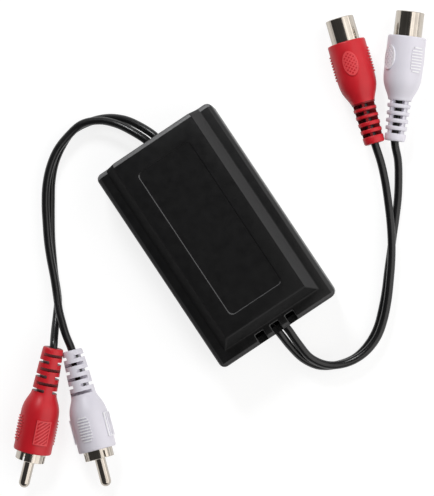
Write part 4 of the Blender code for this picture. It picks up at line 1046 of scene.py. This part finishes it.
class ISOLATOR_OT_plugs(Operator):
    """Model the two phono plugs: boots, slit rings, insulators and centre pins"""
    bl_idname = "isolator.plugs"
    bl_label = "Model plugs"

    def boot(self, place, sides):
        """A plug's boot, with pairs of saw cuts turned a quarter from one to the next."""
        boot = spin_section(f"{place}_boot", boot_section(place, RING_RADIUS), sides)
        reach = 2 * RING_RADIUS
        cuts = []
        for i, middle in enumerate(PLUG_SLOTS):
            for side in (0, 1):
                cut = add_block("cut", (middle - PLUG_SLOT_WIDTH / 2, -reach, PLUG_SLOT_FLOORS[place]),
                                (middle + PLUG_SLOT_WIDTH / 2, reach, reach))
                cuts.append(turn_about_axis(cut, math.pi * (side + (i + 1) % 2 / 2)))
        apply_boolean(boot, join_pieces("cuts", cuts))
        return add_grips(boot, place, sides)

    def ring(self, place, sides):
        """The ground ring, slit from its front edge so that it springs."""
        front = BOOT_LENGTHS[place] + RING_SHOWING
        ring = metal_sleeve(f"{place}_ring", front, RING_RADIUS, RING_WALL, sides)
        slits = []
        for turn in (math.pi / 4, 3 * math.pi / 4):
            slit = add_block("slit", (front - RING_SLIT_LENGTH, -RING_SLIT_WIDTH / 2, -2 * RING_RADIUS),
                             (front + RING_WALL, RING_SLIT_WIDTH / 2, 2 * RING_RADIUS))
            slits.append(turn_about_axis(slit, turn))
        return mark_round(apply_boolean(ring, join_pieces("slits", slits)))

    def pin(self, place, sides):
        """The centre pin, with a round tip."""
        tip = BOOT_LENGTHS[place] + PIN_SHOWING
        steps = 8
        section = [(CONTACT_START, 0.0), (CONTACT_START, PIN_RADIUS)]
        for step in range(steps + 1):
            angle = math.pi / 2 * step / steps
            radius = PIN_RADIUS * math.cos(angle) if step < steps else 0.0
            section.append((tip - PIN_RADIUS * (1 - math.sin(angle)), radius))
        return mark_round(spin_section(f"{place}_pin", section, sides // 2, False))

    def insulator(self, place, sides):
        """The insulator between the pin and the ring."""
        body = RING_RADIUS - RING_WALL - GAP
        return insulating_disc(f"{place}_insulator", BOOT_LENGTHS[place], body, PIN_RADIUS + GAP, sides)

    def execute(self, context):
        sides = context.scene.isolator_connectors.sides
        for place in ("plug_red", "plug_white"):
            place_and_finish(place, {
                "boot": self.boot(place, sides), "ring": self.ring(place, sides),
                "pin": self.pin(place, sides), "insulator": self.insulator(place, sides)})
        return {"FINISHED"}


class ISOLATOR_OT_sockets(Operator):
    """Model the two inline phono sockets: boots, shells, insulators and centre contacts"""
    bl_idname = "isolator.sockets"
    bl_label = "Model sockets"

    def boot(self, place, sides):
        """A socket's boot, whose windows leave discs on four webs."""
        boot = spin_section(f"{place}_boot", boot_section(place, SHELL_RADIUS), sides)
        reach = 2 * SHELL_RADIUS
        half = SOCKET_SLOT_WIDTH / 2
        for quarter in range(4):
            windows = []
            for middle in SOCKET_SLOTS:
                window = add_block("window", (middle - half, SOCKET_WEB / 2, SOCKET_WEB / 2),
                                   (middle + half, reach, reach))
                windows.append(turn_about_axis(window, quarter * math.pi / 2))
            apply_boolean(boot, join_pieces("windows", windows))
        return add_grips(boot, place, sides)

    def shell(self, place, sides):
        """The outer shell, with a broken edge round its rim."""
        rim = BOOT_LENGTHS[place] + SHELL_SHOWING
        return mark_round(metal_sleeve(f"{place}_shell", rim, SHELL_RADIUS, SHELL_WALL, sides))

    def insulator(self, place, sides):
        """The pale insulator in the socket's mouth."""
        face = BOOT_LENGTHS[place] + SHELL_SHOWING - MOUTH_DEPTH
        body = SHELL_RADIUS - SHELL_WALL - GAP
        return insulating_disc(f"{place}_insulator", face, body, CONTACT_RADIUS + GAP, sides)

    def contact(self, place, sides):
        """The sleeve that grips a plug's pin."""
        front = BOOT_LENGTHS[place] + SHELL_SHOWING - 2 * MOUTH_DEPTH
        bottom = SEAT_START + WALL
        return spin_section(f"{place}_contact", [
            (CONTACT_START, 0.0), (CONTACT_START, CONTACT_RADIUS), (front, CONTACT_RADIUS),
            (front, CONTACT_BORE), (bottom, CONTACT_BORE), (bottom, 0.0)], sides // 2, False)

    def execute(self, context):
        sides = context.scene.isolator_connectors.sides
        for place in ("socket_red", "socket_white"):
            place_and_finish(place, {
                "boot": self.boot(place, sides), "shell": self.shell(place, sides),
                "insulator": self.insulator(place, sides), "contact": self.contact(place, sides)})
        return {"FINISHED"}


class ISOLATOR_OT_leads(Operator):
    """Draw the four leads along their routes"""
    bl_idname = "isolator.leads"
    bl_label = "Draw leads"

    def execute(self, context):
        leads = context.scene.isolator_leads
        for place, route in ROUTES.items():
            kind, colour = place.split("_")
            name = f"{place}_lead"
            points = [Vector(point) * MM for point in route] + reach_of(place)
            path, length = smooth_route(points, leads.points)
            curve = bpy.data.curves.new(name, "CURVE")
            curve.dimensions = "3D"
            curve.bevel_depth = leads.diameter / 2
            curve.bevel_resolution = 6
            curve.use_fill_caps = True
            spline = curve.splines.new("POLY")
            spline.points.add(len(path) - 1)
            for point, where in zip(spline.points, path):
                point.co = (where.x, where.y, max(where.z, leads.diameter / 2), 1.0)
            spline.use_smooth = True
            lead = bpy.data.objects.new(name, curve)
            context.scene.collection.objects.link(lead)
            finish_piece(lead, f"{kind}_lead_{colour}", FINISHES["lead_vinyl"])
        return {"FINISHED"}


class ISOLATOR_OT_inside(Operator):
    """Give the pieces that keep their packed form their finishes"""
    bl_idname = "isolator.inside"
    bl_label = "Finish inner pieces"

    def execute(self, context):
        finishes = {
            "bottom_case": "case_plastic", "circuit_board": "board_laminate",
            "lead_tie": "tie_nylon", "case_screw": "zinc_plate", "transformer_core": "core_iron",
            "transformer_bobbin": "bobbin_nylon", "transformer_winding": "winding_tape"}
        dressed = 0
        for name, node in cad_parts.items():
            for start, finish in finishes.items():
                if name.startswith(start):
                    node.data.materials.clear()
                    node.data.materials.append(FINISHES[finish])
                    dressed += 1
        if dressed < len(finishes):
            raise RuntimeError("a packed piece has no finish")
        return {"FINISHED"}


class ISOLATOR_OT_stage(Operator):
    """Set the table, the soft lights and the camera"""
    bl_idname = "isolator.stage"
    bl_label = "Set stage"

    def soft_light(self, name, power, azimuth, elevation, distance, size, colour):
        """A rectangular soft light that is aimed at the middle of the case."""
        lamp = bpy.data.lights.new(name, "AREA")
        lamp.shape = "RECTANGLE"
        lamp.size, lamp.size_y = size
        lamp.energy = power
        lamp.color = colour
        turn = math.radians(azimuth)
        rise = math.radians(elevation)
        light = bpy.data.objects.new(name, lamp)
        light.location = distance * Vector((
            math.cos(turn) * math.cos(rise), math.sin(turn) * math.cos(rise), math.sin(rise)))
        light.rotation_euler = (-light.location).to_track_quat("-Z", "Y").to_euler()
        bpy.context.scene.collection.objects.link(light)

    def floor_material(self, colour):
        """A pale table that looks white straight on and in reflections, and keeps a soft shadow."""
        material = bpy.data.materials.new("pale_table")
        material.use_nodes = True
        tree = material.node_tree
        nodes = Nodes(tree)
        table = tree.nodes["Principled BSDF"]
        nodes.feed(table, {"Base Color": (*colour, 1.0), "Roughness": 0.9, "Specular IOR Level": 0.0})
        rays = nodes.add("ShaderNodeLightPath").outputs
        direct = nodes.reckon("MAXIMUM", rays["Is Camera Ray"], rays["Is Glossy Ray"])
        shadow = nodes.add("ShaderNodeBsdfDiffuse", {"Color": (*SHADOW_SHARE, 1.0)})
        glow = nodes.add("ShaderNodeEmission", {"Color": WHITE, "Strength": FLOOR_GLOW})
        white = nodes.add("ShaderNodeAddShader", {0: shadow.outputs["BSDF"], 1: glow.outputs["Emission"]})
        mix = nodes.add("ShaderNodeMixShader", {
            "Fac": nodes.reckon("MAXIMUM", direct, rays["Is Transmission Ray"]),
            1: table.outputs["BSDF"], 2: white.outputs["Shader"]})
        nodes.feed(tree.nodes["Material Output"], {"Surface": mix.outputs["Shader"]})
        return material

    def room(self, ceiling):
        """A room with a white wall low all round and a dim ceiling."""
        world = bpy.data.worlds.new("room")
        world.use_nodes = True
        nodes = Nodes(world.node_tree)
        place = nodes.add("ShaderNodeTexCoord").outputs["Generated"]
        height = nodes.add("ShaderNodeSeparateXYZ", {"Vector": place}).outputs["Z"]
        nodes.feed(world.node_tree.nodes["Background"], {
            "Color": WHITE, "Strength": nodes.fit(height, *WALL_TOP, 1.0, ceiling)})
        return world

    def execute(self, context):
        stage = context.scene.isolator_stage
        clear_selection()
        bpy.ops.mesh.primitive_plane_add(size=FLOOR_SIZE, location=(0.0, 0.0, -GAP / 3))
        floor = settle(bpy.context.object)
        floor.name = "table"
        floor.data.materials.append(self.floor_material(stage.floor_colour))
        context.scene.world = self.room(stage.ceiling)
        self.soft_light("key_light", stage.key_power, *KEY_LIGHT)
        self.soft_light("rim_light", stage.rim_power, *RIM_LIGHT)

        back = Vector((math.tan(CAMERA_LEAN[0]), math.tan(CAMERA_LEAN[1]), 1.0)).normalized()
        across = Vector((math.cos(CAMERA_TURN), math.sin(CAMERA_TURN), 0.0))
        up = back.cross(across).normalized()
        right = up.cross(back)
        lens = bpy.data.cameras.new("camera")
        lens.lens = stage.lens
        lens.sensor_width = 36.0
        lens.clip_end = 20.0
        camera = bpy.data.objects.new("camera", lens)
        camera.matrix_world = Matrix.Translation(CAMERA_TARGET + back * CAMERA_DISTANCE) @ Matrix(
            (right, up, back)).transposed().to_4x4()
        context.scene.collection.objects.link(camera)
        context.scene.camera = camera
        context.scene.view_settings.view_transform = "Standard"
        return {"FINISHED"}


class ISOLATOR_PT_panel(Panel):
    """Lists the isolator's settings and the steps that build it"""
    bl_idname = "ISOLATOR_PT_panel"
    bl_label = "Ground Loop Isolator"
    bl_space_type = "VIEW_3D"
    bl_region_type = "UI"
    bl_category = "Isolator"

    def draw(self, context):
        layout = self.layout
        scene = context.scene
        for group in SETTINGS:
            box = layout.box()
            settings = getattr(scene, group)
            for name in settings.__annotations__:
                box.prop(settings, name)
        for step in STEPS:
            layout.operator(step.bl_idname)


STEPS = (ISOLATOR_OT_finishes, ISOLATOR_OT_inside, ISOLATOR_OT_cover, ISOLATOR_OT_plugs,
         ISOLATOR_OT_sockets, ISOLATOR_OT_leads, ISOLATOR_OT_stage)
SETTINGS = {"isolator_case": IsolatorCaseSettings, "isolator_leads": IsolatorLeadSettings,
            "isolator_connectors": IsolatorConnectorSettings, "isolator_stage": IsolatorStageSettings}


def register():
    """Registers the settings, the steps and the panel."""
    for name, group in SETTINGS.items():
        bpy.utils.register_class(group)
        setattr(bpy.types.Scene, name, PointerProperty(type=group))
    for step in STEPS:
        bpy.utils.register_class(step)
    bpy.utils.register_class(ISOLATOR_PT_panel)


def unregister():
    """Removes what register adds."""
    bpy.utils.unregister_class(ISOLATOR_PT_panel)
    for step in reversed(STEPS):
        bpy.utils.unregister_class(step)
    for name, group in reversed(SETTINGS.items()):
        delattr(bpy.types.Scene, name)
        bpy.utils.unregister_class(group)


def main():
    """Builds everything in order."""
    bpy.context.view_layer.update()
    register()
    bpy.ops.isolator.finishes()
    bpy.ops.isolator.inside()
    bpy.ops.isolator.cover()
    bpy.ops.isolator.plugs()
    bpy.ops.isolator.sockets()
    bpy.ops.isolator.leads()
    bpy.ops.isolator.stage()
    clear_selection()


if __name__ == "__main__":
    main()
